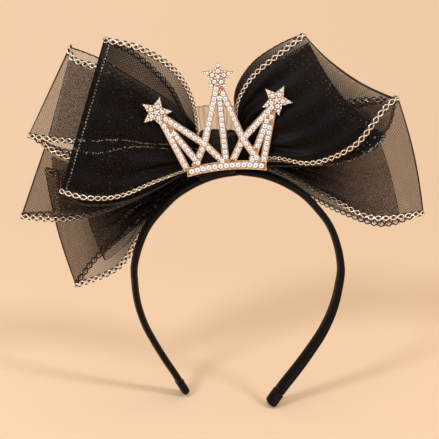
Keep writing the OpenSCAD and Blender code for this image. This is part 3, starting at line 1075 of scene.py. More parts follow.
    def end_cover(self, side: Side, node: str) -> None:
        """Folded cover on one end, with a hem at its mouth and a rounded end.

        Args:
            side: Which leg.
            node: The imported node.
        """
        start = self.last_row - self.cover_rows * (1 - self.seat_gap / self.cover_length)
        share = np.concatenate([np.linspace(0.0, 0.8, 32), np.linspace(0.8, 1.0, 15)[1:]])
        hem = 0.35 * np.exp(-((share - 0.10) / 0.05) ** 2)
        groove = 0.30 * np.exp(-((share - 0.22) / 0.03) ** 2)
        mouth = 1 - smoothstep(0.0, 0.05, share)
        swell = self.cover_swell * (1 + hem - groove - 1.2 * mouth)
        rings = self.sweep(side, start + share * (self.last_row - start), swell)
        round_off = np.sqrt(np.clip(1 - (np.clip(share - 0.80, 0, 1) / 0.205) ** 2, 0.02, 1.0))
        middle = rings.mean(axis=1, keepdims=True)
        rings = middle + (rings - middle) * round_off[:, None, None]
        piece = self.tube(f"end_cover_{side.name.lower()}", rings, BAND_SATIN)
        finish_piece(piece, "band_cloth", node)


@dataclass(frozen=True)
class BowSizes:
    """Sizes that all the loops share."""

    reach: float = 0.116
    rise: float = 0.100
    depth: float = 0.030
    fold_radius: float = 0.0015
    loop_height: float = 0.020
    knot_width: float = 0.026
    knot_depth: float = 0.026
    knot_top: float = 0.031
    knot_low: float = 0.0042
    knot_shift: float = 0.014
    knot_forward: float = 0.0026
    root_gap: float = -0.0006
    layer_pitch: float = 0.0015
    first_layer: float = -0.009
    inner_trim: float = 0.0010
    inner_narrow: float = 0.07
    inner_low_narrow: float = 0.025


BOW = BowSizes()
LAST_STATION = 10
FOLD = LAST_STATION / 2
# Share of the way from the fold to the next station where the two faces have parted
PARTING = 0.12
# How far slack cloth hangs at some stations, as shares of its slack
SLACK_STATIONS = (0, 1, 3, 4, 5, 6, 8, 10)
SLACK_SHARES = (0, 0.7, 1, 0.95, 0.7, 0.9, 0.8, 0)


@dataclass(frozen=True)
class RibbonLoop:
    """One loop of the bow: a sheer ribbon, the glittering one inside it, and their edgings.

    A row of stations is a place on the way round, from the knot outwards along the front, at
    the fold, and along the back. It holds the top edge and then the bottom edge, as shares of
    the bow's reach, depth and rise.

    Attributes:
        front_layer: Layer of the front end in the knot, counted from the front.
        back_layer: Layer of the back end.
        foot: Height of the bottom edge in the knot, as a share of the knot's height.
        head: Height of the top edge there.
        short_top: Stations by which the inner ribbon's top edge folds short of the fold.
        short_bottom: The same for its bottom edge.
        outer: Finish of the outer ribbon.
        lining: Finish of the inner ribbon.
        stations: The table.
        front_swell: How far the front face is domed.
        back_swell: How far the back face is domed.
        drop: How far the inner ribbon's bottom edge hangs lower, as a share of the rise.
        pleats: Number of gathers beside the knot.
        pleat_height: Their height.
        bulge: How far the middle of the fold stands out, or in where it is less than 0.
        thin_back: Whether the edging behind the fold is thin along the top.
        slack: How far the inner ribbon's top edge hangs lower.
        looseness: Density of the outer ribbon's weave at the fold, where 1 is flat cloth.
        knot_fullness: Density that the gathers add beside the knot.
        gold_from: Stations from the knot between which the gold threads come out.
        inset: Place of the inner ribbon between the front face and the back one.
        nudge: Shift of the front edges before the fold: top out and up, bottom out and up.
    """

    name: str
    side: Side
    front_layer: int
    back_layer: int
    foot: float
    head: float
    short_top: float
    short_bottom: float
    outer: OrganzaFinish
    lining: OrganzaFinish
    stations: tuple[tuple[float, ...], ...]
    front_swell: float = 0.0
    back_swell: float = 0.0
    drop: float = 0.0
    pleats: float = 5.0
    pleat_height: float = 0.0017
    bulge: float = 0.0
    thin_back: bool = False
    slack: float = 0.0
    looseness: float = 1.0
    knot_fullness: float = 1.1
    gold_from: tuple[float, float] = (1.0, 2.2)
    inset: float = 0.33
    nudge: tuple[float, float, float, float] = (0.0, 0.0, 0.0, 0.0)

    def station(self, row: Sequence[float], edge: Edge) -> np.ndarray:
        """Place of one edge at a row of the table.

        Args:
            row: Row of the table.
            edge: Which edge.

        Returns:
            The place.
        """
        out, back, up = row[edge.value * 3: edge.value * 3 + 3]
        return np.array([
            -BOW.knot_shift + self.side.value * (BOW.knot_width / 2 + out * BOW.reach),
            back * BOW.depth, BOW.loop_height + up * BOW.rise])

    def root(self, layer: float, edge: Edge) -> np.ndarray:
        """Place of one edge where the gathered ribbon enters the knot.

        Args:
            layer: Layer in the knot, counted from the front.
            edge: Which edge.

        Returns:
            The place.
        """
        share = self.head if edge is Edge.TOP else self.foot
        return np.array([
            -BOW.knot_shift + self.side.value * (BOW.knot_width / 2 + BOW.root_gap),
            BOW.first_layer + layer * BOW.layer_pitch,
            BOW.knot_low + share * (BOW.knot_top - BOW.knot_low)])

    def edge_rows(self, edge: Edge) -> np.ndarray:
        """Points of one edge of the outer ribbon, from the knot round to the knot.

        Args:
            edge: Which edge.

        Returns:
            One point for each station.
        """
        p = [self.station(row, edge) for row in self.stations]

        def beside_fold(near: np.ndarray, way: float) -> np.ndarray:
            """Point a little before or after the fold."""
            return p[3] + PARTING * (near - p[3]) + np.array([0.0, way * BOW.fold_radius, 0.0])

        out, up = self.nudge[edge.value * 2: edge.value * 2 + 2]
        nudge = np.array([self.side.value * out, 0.0, up])
        return np.array([
            self.root(self.front_layer, edge), p[0], p[1], p[2],
            beside_fold(p[2], -1.0) + nudge, p[3],
            beside_fold(p[4], 1.0), p[4], p[5], p[6], self.root(self.back_layer, edge)])

    def inner_rows(self, edge: Edge) -> np.ndarray:
        """Points of one edge of the inner ribbon, which folds short of the outer fold.

        Args:
            edge: Which edge.

        Returns:
            One point for each station.
        """
        rows = self.edge_rows(edge)
        other = self.edge_rows(Edge.BOTTOM if edge is Edge.TOP else Edge.TOP)
        short_by = self.short_top if edge is Edge.TOP else self.short_bottom
        short = (FOLD - short_by) / FOLD
        made = []
        for i in range(LAST_STATION + 1):
            if i in (0, LAST_STATION):
                inset = self.inset if i == 0 else 1 - self.inset
                layer = self.front_layer + (self.back_layer - self.front_layer) * inset
                made.append(self.root(layer, edge))
                continue
            w = i * short if i <= FOLD else LAST_STATION - (LAST_STATION - i) * short
            s = 0.5 if i == FOLD else self.inset
            places = np.array([w, LAST_STATION - w])
            near, far = smooth_curve(rows, places)
            near_other, far_other = smooth_curve(other, places)
            here = near + (far - near) * s
            there = near_other + (far_other - near_other) * s
            reach = (1 - abs(i - FOLD) / FOLD) ** 2
            sink = edge.value * self.drop * BOW.rise * reach
            narrow = BOW.inner_narrow if edge is Edge.TOP else BOW.inner_low_narrow
            if edge is Edge.TOP:
                sink += self.slack * float(np.interp(i, SLACK_STATIONS, SLACK_SHARES))
            made.append(here + (there - here) * narrow - np.array([0.0, 0.0, sink]))
        return np.array(made)

    def rows(self, layer: Layer, edge: Edge) -> np.ndarray:
        """Points of one edge of either ribbon."""
        return self.edge_rows(edge) if layer is Layer.OUTER else self.inner_rows(edge)

    def pleat(self, u: np.ndarray, v: np.ndarray) -> np.ndarray:
        """Forward or backward push of the gathers beside the knot.

        Args:
            u: Stations.
            v: Shares of the width.

        Returns:
            The push, in metres.
        """
        # The gathers fade out some four stations from the knot
        away = np.minimum(u, LAST_STATION - u)
        envelope = (1 - smoothstep(0.9, 4.4, away)) * (0.35 + 0.65 * smoothstep(0.0, 1.0, away))
        turns = 2 * math.pi * self.pleats * v + 0.9 * np.sin(2 * math.pi * v) + self.foot * 9
        inside = 0.25 + 0.75 * smoothstep(0.0, 0.08, np.minimum(v, 1 - v))
        return self.pleat_height * envelope * inside * np.sin(turns)

    def surface(self, layer: Layer, u: np.ndarray, v: np.ndarray) -> np.ndarray:
        """Points of a ribbon.

        Args:
            layer: Which ribbon.
            u: Stations along it.
            v: Shares of its width, from the top edge down.

        Returns:
            A grid of points, a row for each station.
        """
        top, bottom = self.rows(layer, Edge.TOP), self.rows(layer, Edge.BOTTOM)
        a, b = smooth_curve(top, u), smooth_curve(bottom, u)
        trim = 0.0 if layer is Layer.OUTER else BOW.inner_trim
        across = unit(b - a)
        outwards = np.array([self.side.value * 0.25, 0.0, 0.0])
        a = a + square_to(across + outwards, direction(top, u)) * trim
        b = b + square_to(outwards - across, direction(bottom, u)) * trim
        grid = a[:, None, :] + (b - a)[:, None, :] * v[None, :, None]
        front = np.sin(math.pi * u / FOLD)
        swell = np.where(front > 0, -self.front_swell, -self.back_swell) * front
        push = np.sin(math.pi * v)[None, :] * swell[:, None]
        grid[:, :, 1] += push + self.pleat(u[:, None], v[None, :])
        fold_line = (bottom[int(FOLD)] - top[int(FOLD)])[None, :]
        outward = square_to(np.array([[float(self.side.value), 0.0, 0.0]]), unit(fold_line))[0]
        near = np.exp(-((u - FOLD) / 1.3) ** 2)[:, None] * np.sin(math.pi * v)[None, :]
        return grid + (self.bulge * near)[:, :, None] * outward

    def sheet(self, layer: Layer, finish: OrganzaFinish) -> None:
        """Args:
            layer: Which ribbon.
            finish: Its finish.
        """
        # The rows lie closer round the fold
        u = np.concatenate([
            np.linspace(0.0, 4.0, 56, endpoint=False), np.linspace(4.0, 6.0, 41),
            np.linspace(6.0, 10.0, 57)[1:]])
        v = np.linspace(0.0, 1.0, 61)
        grid = self.surface(layer, u, v)
        middle = arc_lengths(grid[:, len(v) // 2])
        fold_at = float(np.interp(FOLD, u, middle))
        spans = np.linalg.norm(grid[:, 0] - grid[:, -1], axis=1)
        wide = round(float(spans.max()), 3)
        uv = np.stack(np.broadcast_arrays((middle - fold_at)[:, None], v[None, :] * wide), -1)
        fullness = np.clip(wide / spans, 1.0, 4.0)
        near_fold = np.exp(-((u - FOLD) / 1.6) ** 2)
        loose = self.looseness if layer is Layer.OUTER else 1.0
        fullness = 1 + (fullness - 1) * (1 - near_fold) + (loose - 1) * near_fold
        away = np.minimum(u, LAST_STATION - u)
        fullness += self.knot_fullness * (1 - smoothstep(0.5, 3.6, away))
        name = f"{layer.value}_{self.name}"
        piece = new_piece(name, grid.reshape(-1, 3), grid_faces(*grid.shape[:2]),
                          uv.reshape(-1, 2))
        add_attribute(piece, "fullness", np.repeat(fullness, len(v)))
        to_edge = np.minimum(v, 1 - v)[None, :] * spans[:, None]
        add_attribute(piece, "rim", to_edge.ravel())
        piece.data.materials.append(finish.material())
        outer = layer is Layer.OUTER
        finish_piece(piece, "sheer_ribbon" if outer else "glitter_ribbon",
                     f"{'loop' if outer else 'inner'}_{self.name}")

    def edge_path(self, edge: Edge, count: int) -> dict[str, np.ndarray]:
        """Line of one edge of the outer ribbon, with what its edging needs at each point.

        Args:
            edge: Which edge.
            count: Number of points.

        Returns:
            The points, the directions across the ribbon and outwards from it, the squeeze of
            the edging's width, the girth of the black threads, the girth of the gold ones
            under "shine", and the phase of the twist.
        """
        u = np.linspace(0.0, LAST_STATION, count)
        v = np.array([0.0, 0.02]) if edge is Edge.TOP else np.array([1.0, 0.98])
        grid = self.surface(Layer.OUTER, u, v)
        points = grid[:, 0]
        along = unit(np.gradient(points, axis=0))
        across = grid[:, 1] - grid[:, 0]
        # Along the front the edging faces the viewer more squarely than the ribbon does
        across[:, 1] *= 1 - 0.85 * (1 - smoothstep(4.2, 4.9, u))
        across = square_to(across, along)
        outwards = unit(np.cross(along, across))
        quarter = count // 4
        if outwards[quarter, 1] > 0:
            outwards = -outwards
        away = np.minimum(u, LAST_STATION - u)
        # The edging is narrower and thinner where the knot presses it
        squeeze = 0.55 + 0.45 * smoothstep(0.0, 3.0, away)
        girth = 0.62 + 0.38 * smoothstep(0.0, 3.0, away)
        shine = np.ones(count)
        # The gold sinks into the gathers, and behind a front loop it faces away
        if self.front_layer > 0:
            shine = 0.1 + 0.9 * smoothstep(*self.gold_from, away)
        elif edge is Edge.BOTTOM:
            shine = 1 - 0.9 * smoothstep(5.4, 6.6, u)
            squeeze = squeeze * (1 - 0.6 * smoothstep(5.3, 6.3, u))
        if self.thin_back and edge is Edge.TOP:
            behind = smoothstep(5.3, 5.9, u)
            squeeze = squeeze * (1 - 0.85 * behind)
            girth = girth * (1 - 0.4 * behind)
        run = arc_lengths(points)
        # Length of one eye of the twist, shorter beside the knot
        eye = 0.0026 + 0.0022 * smoothstep(0.0, 3.6, away)
        steps = np.diff(run) * 2 / (eye[1:] + eye[:-1])
        phase = math.pi * np.concatenate([[0.0], np.cumsum(steps)])
        return {"points": points, "across": across, "outwards": outwards,
                "squeeze": squeeze, "girth": girth, "shine": girth * shine,
                "phase": phase}


def direction(rows: np.ndarray, u: np.ndarray) -> np.ndarray:
    """Unit direction of a curve at places u.

    Args:
        rows: Points of the curve.
        u: Places, counted in rows.

    Returns:
        One direction for each place.
    """
    step = 0.05
    ahead = smooth_curve(rows, np.minimum(u + step, len(rows) - 1.0))
    return unit(ahead - smooth_curve(rows, np.maximum(u - step, 0.0)))


def square_to(vectors: np.ndarray, way: np.ndarray) -> np.ndarray:
    """Unit part of each vector at right angles to a direction."""
    return unit(vectors - (vectors * way).sum(axis=1, keepdims=True) * way)


def sheer(name: str, cover: float) -> OrganzaFinish:
    """Plain organza of one outer ribbon."""
    return OrganzaFinish(name, cover=cover)


def dense(name: str, cover: float, stitch: float = 0.0,
          seams: tuple[tuple[float, float, float, float], ...] = ()) -> OrganzaFinish:
    """Closer organza of a front ribbon, with a dotted line beside its fold and glitter lines."""
    return OrganzaFinish(name, cover=cover, colour=(0.0032, 0.0027, 0.0026),
                         painted_glow=(0.011, 0.0050, 0.0032), stitch=stitch, seams=seams)


def lining(name: str, cover: float, glitter: float, fold_glitter: float) -> OrganzaFinish:
    """Glittering organza of one inner ribbon."""
    return OrganzaFinish(name, cover=cover, glitter=glitter, fold_glitter=fold_glitter,
                         colour=(0.0030, 0.0025, 0.0024), painted_glow=(0.010, 0.0060, 0.0045),
                         thread_contrast=0.25, crease_half=0.0007, rim_line=0.0005)


LOOPS = (
    RibbonLoop(
        "front_left", Side.LEFT, front_layer=0, back_layer=3, foot=0.15, head=0.92,
        front_swell=0.001, short_top=1.3, short_bottom=1.0,
        outer=dense("organza_front_left", 0.58, stitch=0.0052, seams=(
            (0.0655, 0.20, -0.0008, 150.0), (0.0715, 0.20, -0.0025, 110.0))),
        lining=lining("dense_glitter_left", 0.90, 0.02, 0.0), stations=(
            (0.02, -0.33, 0.29, 0.21, -0.47, -0.20),
            (0.12, -0.35, 0.49, 0.42, -0.60, -0.29),
            (0.31, -0.43, 0.63, 0.58, -0.80, -0.28),
            (0.48, -0.30, 0.67, 0.72, -0.60, -0.25),
            (0.33, -0.07, 0.57, 0.62, -0.33, -0.36),
            (0.14, -0.10, 0.36, 0.42, -0.27, -0.36),
            (0.07, -0.13, 0.21, 0.21, -0.20, -0.27)), slack=0.017,
        looseness=2.3, knot_fullness=0.4),
    RibbonLoop(
        "upper_left", Side.LEFT, front_layer=4, back_layer=7, foot=0.58, head=0.92,
        back_swell=0.002, short_top=0.9, short_bottom=1.6,
        outer=sheer("organza_upper_left", 0.29),
        lining=lining("sheer_glitter_upper", 0.42, 0.22, 0.6), stations=(
            (0.13, 0.10, 0.22, 0.17, 0.10, -0.03),
            (0.34, 0.13, 0.37, 0.41, 0.13, 0.00),
            (0.53, 0.20, 0.47, 0.70, 0.13, 0.01),
            (0.68, 0.43, 0.58, 0.91, 0.33, 0.03),
            (0.53, 0.67, 0.50, 0.78, 0.53, -0.07),
            (0.35, 0.63, 0.38, 0.53, 0.57, -0.12),
            (0.13, 0.40, 0.23, 0.20, 0.40, -0.09)), thin_back=True,
        nudge=(-0.0004, -0.0055, 0.0, 0.0)),
    RibbonLoop(
        "middle_left", Side.LEFT, front_layer=4, back_layer=7, foot=0.12, head=0.42,
        back_swell=0.001, short_top=1.2, short_bottom=1.9,
        outer=sheer("organza_middle_left", 0.43),
        lining=lining("sheer_glitter_middle", 0.52, 0.22, 0.5), stations=(
            (0.20, 0.10, -0.12, 0.26, 0.10, -0.32),
            (0.40, 0.10, -0.11, 0.47, 0.07, -0.43),
            (0.61, 0.10, -0.13, 0.72, 0.00, -0.49),
            (0.82, 0.23, -0.03, 0.96, 0.13, -0.48),
            (0.65, 0.33, -0.12, 0.79, 0.27, -0.48),
            (0.43, 0.33, -0.14, 0.56, 0.30, -0.47),
            (0.21, 0.30, -0.16, 0.29, 0.30, -0.36)), knot_fullness=2.0,
        gold_from=(2.4, 3.8)),
    RibbonLoop(
        "lower_left", Side.LEFT, front_layer=8, back_layer=12, foot=-0.22, head=0.50,
        back_swell=0.002, short_top=1.9, short_bottom=2.0,
        outer=sheer("organza_lower_left", 0.51),
        lining=lining("sheer_glitter_lower", 0.46, 0.24, 0.05), stations=(
            (0.20, 0.40, -0.22, 0.18, 0.40, -0.45),
            (0.41, 0.53, -0.24, 0.30, 0.50, -0.61),
            (0.63, 0.57, -0.28, 0.44, 0.40, -0.85),
            (0.84, 0.73, -0.23, 0.68, 0.37, -0.97),
            (0.64, 0.93, -0.29, 0.58, 0.67, -0.83),
            (0.42, 0.87, -0.25, 0.45, 0.77, -0.70),
            (0.21, 0.63, -0.23, 0.24, 0.67, -0.50)), pleats=6.0, pleat_height=0.0030,
        bulge=0.0022, inset=0.14, knot_fullness=2.2),
    RibbonLoop(
        "front_right", Side.RIGHT, front_layer=0, back_layer=3, foot=0.15, head=0.92,
        front_swell=0.001, short_top=1.0, short_bottom=1.0, drop=0.22,
        outer=dense("organza_front_right", 0.61),
        lining=lining("dense_glitter_right", 0.78, 0.06, 0.0), stations=(
            (-0.01, -0.30, 0.27, 0.18, -0.40, -0.06),
            (0.07, -0.30, 0.44, 0.38, -0.57, -0.08),
            (0.19, -0.25, 0.56, 0.60, -0.83, 0.05),
            (0.34, -0.10, 0.69, 0.82, -0.67, 0.33),
            (0.22, 0.13, 0.62, 0.78, -0.40, 0.12),
            (0.07, 0.10, 0.50, 0.57, -0.27, -0.08),
            (-0.02, -0.07, 0.33, 0.27, -0.17, -0.13)), bulge=-0.0052, thin_back=True,
        looseness=0.30, knot_fullness=4.2, nudge=(0.0, 0.0, -0.0035, -0.0010)),
    RibbonLoop(
        "lower_right", Side.RIGHT, front_layer=5, back_layer=9, foot=0.15, head=0.80,
        back_swell=0.002, short_top=1.75, short_bottom=1.5,
        outer=sheer("organza_lower_right", 0.41),
        lining=lining("sheer_glitter_right", 0.40, 0.30, 0.0), stations=(
            (0.18, 0.17, 0.09, 0.20, 0.24, -0.19),
            (0.39, 0.20, 0.19, 0.47, 0.12, -0.34),
            (0.61, 0.27, 0.25, 0.72, 0.02, -0.48),
            (0.86, 0.40, 0.26, 1.01, 0.13, -0.46),
            (0.64, 0.63, 0.20, 0.80, 0.40, -0.56),
            (0.40, 0.60, 0.13, 0.56, 0.47, -0.48),
            (0.18, 0.45, 0.04, 0.24, 0.48, -0.28)), bulge=0.0022, pleat_height=0.0022,
        knot_fullness=2.6, gold_from=(1.8, 3.0)),
)


@dataclass
class TwistedEdging:
    """Edging of two gold threads that cross in eyes, over two black ones on the inner face."""

    half_width: float = 0.00136
    half_depth: float = 0.00035
    gold_radius: float = 0.00039
    black_radius: float = 0.00044
    black_spread: float = 1.18
    gold_lift: float = 0.00035
    black_lift: float = -0.00040
    step: float = 0.0006
    sides: int = 6
    path_points: int = 260

    def tree(self) -> ShapeTree:
        """Builds the nodes that wind four threads along a path.

        Returns:
            The tree, ready to run on an edge.
        """
        made = ShapeTree("Twisted edging", {
            "Half width": ("NodeSocketFloat", self.half_width),
            "Half depth": ("NodeSocketFloat", self.half_depth),
            "Gold radius": ("NodeSocketFloat", self.gold_radius),
            "Black radius": ("NodeSocketFloat", self.black_radius),
            "Black spread": ("NodeSocketFloat", self.black_spread),
            "Gold lift": ("NodeSocketFloat", self.gold_lift),
            "Black lift": ("NodeSocketFloat", self.black_lift),
            "Step": ("NodeSocketFloat", self.step),
            "Sides": ("NodeSocketInt", self.sides),
            "Gold": ("NodeSocketMaterial", None),
            "Black": ("NodeSocketMaterial", None)})
        graph, given = made.graph, made.given
        line = graph.node("GeometryNodeMeshToCurve")
        graph.feed(line.inputs[0], given["Geometry"])
        even = graph.node("GeometryNodeResampleCurve", mode="LENGTH")
        graph.feed(even.inputs["Curve"], line.outputs[0])
        graph.feed(even.inputs["Length"], given["Step"])
        turn, squeeze = graph.stored("phase"), graph.stored("squeeze")
        across = graph.stored("across", "FLOAT_VECTOR")
        outwards = graph.stored("outwards", "FLOAT_VECTOR")
        girths = {"Gold": graph.stored("shine"), "Black": graph.stored("girth")}
        parts = []
        for colour in ("Gold", "Black"):
            circle = graph.node("GeometryNodeCurvePrimitiveCircle", mode="RADIUS")
            graph.feed(circle.inputs["Resolution"], given["Sides"])
            graph.feed(circle.inputs["Radius"], given[f"{colour} radius"])
            width = graph.math("MULTIPLY", given["Half width"], squeeze)
            if colour == "Black":
                width = graph.math("MULTIPLY", width, given["Black spread"])
            half_eye = math.pi / 2 if colour == "Black" else 0.0
            for start in (half_eye, half_eye + math.pi):
                angle = graph.math("ADD", turn, start)
                aside = graph.math("MULTIPLY", graph.math("SINE", angle), width)
                lift = graph.math("MULTIPLY_ADD", graph.math("COSINE", angle),
                                  given["Half depth"], given[f"{colour} lift"])
                push = graph.vector("ADD", graph.vector("SCALE", across, aside),
                                    graph.vector("SCALE", outwards, lift))
                placed = graph.node("GeometryNodeSetPosition")
                graph.feed(placed.inputs["Geometry"], even.outputs[0])
                graph.feed(placed.inputs["Offset"], push)
                thread = graph.node("GeometryNodeCurveToMesh")
                graph.feed(thread.inputs["Curve"], placed.outputs[0])
                graph.feed(thread.inputs["Profile Curve"], circle.outputs[0])
                graph.feed(thread.inputs["Scale"], girths[colour])
                graph.feed(thread.inputs["Fill Caps"], True)
                parts.append((thread.outputs[0], colour))
        made.close(parts)
        return made

    def path_piece(self, name: str, paths: Sequence[dict[str, np.ndarray]]) -> Piece:
        """Makes the lines that the threads follow, with their directions as attributes.

        Args:
            name: The object's name.
            paths: Edges, as edge_path gives them.

        Returns:
            The new object.
        """
        points = np.concatenate([p["points"] for p in paths])
        edges, start = [], 0
        for path in paths:
            count = len(path["points"])
            edges += [(start + i, start + i + 1) for i in range(count - 1)]
            start += count
        piece = new_piece(name, points, [], edges=edges)
        for key in ("across", "outwards", "squeeze", "girth", "shine", "phase"):
            add_attribute(piece, key, np.concatenate([p[key] for p in paths]))
        return piece

    def wind(self, tree: ShapeTree, name: str, paths: Sequence[dict[str, np.ndarray]]) -> Piece:
        """Winds the threads along paths.

        Args:
            tree: The nodes of the edging.
            name: The piece's name.
            paths: The edges of one ribbon, as edge_path gives them.

        Returns:
            All the threads as one piece.
        """
        line = self.path_piece(f"{name}_line", paths)
        piece = tree.run(line, name, Gold=GOLD_THREAD.material(), Black=BLACK_THREAD.material())
        piece.data.polygons.foreach_set("use_smooth", [True] * len(piece.data.polygons))
        return piece


@dataclass
class RibbonBow:
    """The six loops with their inner ribbons and edgings."""

    loops: tuple[RibbonLoop, ...] = LOOPS
    edging: TwistedEdging = field(default_factory=TwistedEdging)

    def build(self) -> None:
        """Makes each loop's two ribbons and its edging."""
        tree = self.edging.tree()
        for loop in self.loops:
            loop.sheet(Layer.OUTER, loop.outer)
            loop.sheet(Layer.INNER, loop.lining)
            self.dress_edges(loop, tree)

    def dress_edges(self, loop: RibbonLoop, tree: ShapeTree) -> None:
        """Winds the edging of the outer ribbon.

        Args:
            loop: The loop.
            tree: The nodes of the edging.
        """
        outer = [loop.edge_path(edge, self.edging.path_points) for edge in Edge]
        piece = self.edging.wind(tree, f"twist_edging_{loop.name}", outer)
        finish_piece(piece, "gold_edging", f"edging_{loop.name}")


@dataclass
class WrappedKnot:
    """The pleated ribbon round the middle of the bow, and the sheer frill above it."""

    pleats: int = 25
    pleat_depth: float = 0.0007
    lobe_depth: float = 0.0008
    top_dent: float = 0.0035
    girth_length: float = 0.095
    # Power of the rounding of the knot's plan, from 0 for a square to 1 for a circle
    squareness: float = 0.45
    around: int = 300
    levels: int = 40
    # Girth of the knot on its way up: [height, girth] as shares
    girth: tuple[tuple[float, float], ...] = (
        (0.0, 0.86), (0.08, 0.96), (0.4, 1.0), (0.85, 0.97), (0.96, 0.9), (1.0, 0.8))
    knot_top: float = 0.0275
    frill_height: float = 0.0175
    frill_share: float = 0.98
    frill_pleats: float = 7.0
    frill_wave: float = 0.0013
    frill_droop: float = 0.0015
    seat_gap: float = 0.0003

    def build(self, band: BoundBand) -> None:
        """Makes the knot over the band, and then the frill."""
        self.knot(band)
        self.frill()

    def knot(self, band: BoundBand) -> None:
        """Closed drum with pressed pleats, cut to the curve of the band below it.

        Args:
            band: The band that it sits on.
        """
        angles = np.linspace(0.0, 2 * math.pi, self.around, endpoint=False)
        c, s = np.cos(angles), np.sin(angles)
        round_x = np.sign(c) * np.abs(c) ** self.squareness
        round_y = np.sign(s) * np.abs(s) ** self.squareness
        heights, girths = np.array(self.girth).T
        levels = np.linspace(0.0, 1.0, self.levels)
        girth = np.interp(levels, heights, girths)[:, None]
        ripple = np.sin(self.pleats * angles + 1.4 * np.sin(3 * angles))
        crisp = 0.5 - 0.5 * np.abs(ripple) ** 0.7 * np.sign(ripple)
        reach = smoothstep(0.0, 0.1, levels)[:, None]
        depth = self.pleat_depth * crisp[None, :] * (0.35 + 0.65 * (s < 0)) * reach
        x = -BOW.knot_shift + round_x * (BOW.knot_width / 2 - depth * np.abs(c)) * girth
        y = -BOW.knot_forward + round_y * (BOW.knot_depth / 2 - depth * np.abs(s)) * girth
        low = self.band_top(band, x) + self.seat_gap
        lobes = self.lobe_depth * crisp[None, :] * smoothstep(0.85, 1.0, levels)[:, None]
        z = low + (self.knot_top - low) * levels[:, None] - lobes
        rings = np.stack([x, y, z], axis=-1)
        around = np.arange(self.around) * self.girth_length / self.around
        tall = levels * (self.knot_top - BOW.knot_low)
        uv = np.stack(np.broadcast_arrays(around[None, :], tall[:, None]), -1).reshape(-1, 2)
        points, faces = self.capped(rings)
        uv = np.concatenate([uv, uv[:2]])
        piece = new_piece("wrapped_knot", points, faces, uv)
        outward_faces(piece)
        piece.data.materials.append(KNOT_SATIN.material())
        finish_piece(piece, "knot_cloth", "knot")

    def capped(self, rings: np.ndarray) -> tuple[np.ndarray, list[tuple[int, ...]]]:
        """Points and faces of a drum, with a sunk gather in its top.

        Args:
            rings: Rings of the drum, from the foot up.

        Returns:
            Points and faces.
        """
        count, sides = rings.shape[:2]
        low, high = rings[0].mean(0), rings[-1].mean(0) - np.array([0.0, 0.0, self.top_dent])
        points = np.concatenate([rings.reshape(-1, 3), low[None], high[None]])
        faces = grid_faces(count, sides, closed=True)
        first, base = count * sides, (count - 1) * sides
        faces += [(first, (j + 1) % sides, j) for j in range(sides)]
        faces += [(first + 1, base + j, base + (j + 1) % sides) for j in range(sides)]
        return points, faces

    def band_top(self, band: BoundBand, x: np.ndarray) -> np.ndarray:
        """Height of the band's outside under the knot.

        Args:
            band: The band.
            x: Places across.

        Returns:
            The height at each place.
        """
        u = np.linspace(0.0, 4.0, 60)
        tops = []
        for side in Side:
            rings = band.sweep(side, u, np.zeros(len(u)))
            highest = rings[:, :, 2].argmax(axis=1)
            tops.append(rings[np.arange(len(u)), highest][:, [0, 2]])
        tops = np.concatenate([tops[0][::-1], tops[1][1:]])
        return np.interp(x, tops[:, 0], tops[:, 1])

    def frill(self) -> None:
        """Sheer upper edge of the wrapping ribbon, in standing pleats."""
        s, h = np.linspace(0.0, 1.0, 161), np.linspace(0.0, 1.0, 25)
        length = BOW.knot_width * self.frill_share
        spread = 0.86 + 0.14 * h[None, :]
        x = -BOW.knot_shift + (s[:, None] - 0.5) * length * spread
        wave = self.frill_wave * (0.6 + 0.4 * h[None, :])
        y = -BOW.knot_forward + wave * np.sin(2 * math.pi * self.frill_pleats * s[:, None])
        top = self.frill_height - self.frill_droop * (2 * s[:, None] - 1) ** 2
        z = self.knot_top + self.seat_gap + h[None, :] * top
        x, y, z = np.broadcast_arrays(x, y, z)
        grid = np.stack([x, y, z], axis=-1)
        run = arc_lengths(grid[:, -1])
        uv = np.stack(np.broadcast_arrays(run[:, None], h[None, :] * self.frill_height), -1)
        piece = new_piece("sheer_frill", grid.reshape(-1, 3), grid_faces(*grid.shape[:2]),
                          uv.reshape(-1, 2))
        folds = 0.5 + 0.5 * np.sin(2 * math.pi * self.frill_pleats * s + 1.3 * np.sin(9 * s))
        add_attribute(piece, "fullness", np.repeat(0.75 + 0.9 * folds ** 2, len(h)))
        add_attribute(piece, "rim", np.tile((1 - h) * self.frill_height, len(s)))
        piece.data.materials.append(FRILL_ORGANZA.material())
        finish_piece(piece, "sheer_ribbon", "knot_frill")


@dataclass(frozen=True)
class Setting:
    """One kind of small solid set on the crown's face.

    Attributes:
        name: The piece's name.
        finish: Its finish.
        slot: The record's material slot.
        lift: Distance of its foot from the plate's front face.
        spread: Its width, as a share of the place that it is given.
        height: How far it stands out.
        smooth: Whether its faces are shaded smooth.
        nodes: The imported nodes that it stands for.
    """

    name: str
    finish: Finish
    slot: str
    lift: float
    spread: float
    height: float
    smooth: bool = False
    nodes: tuple[str, ...] = ()


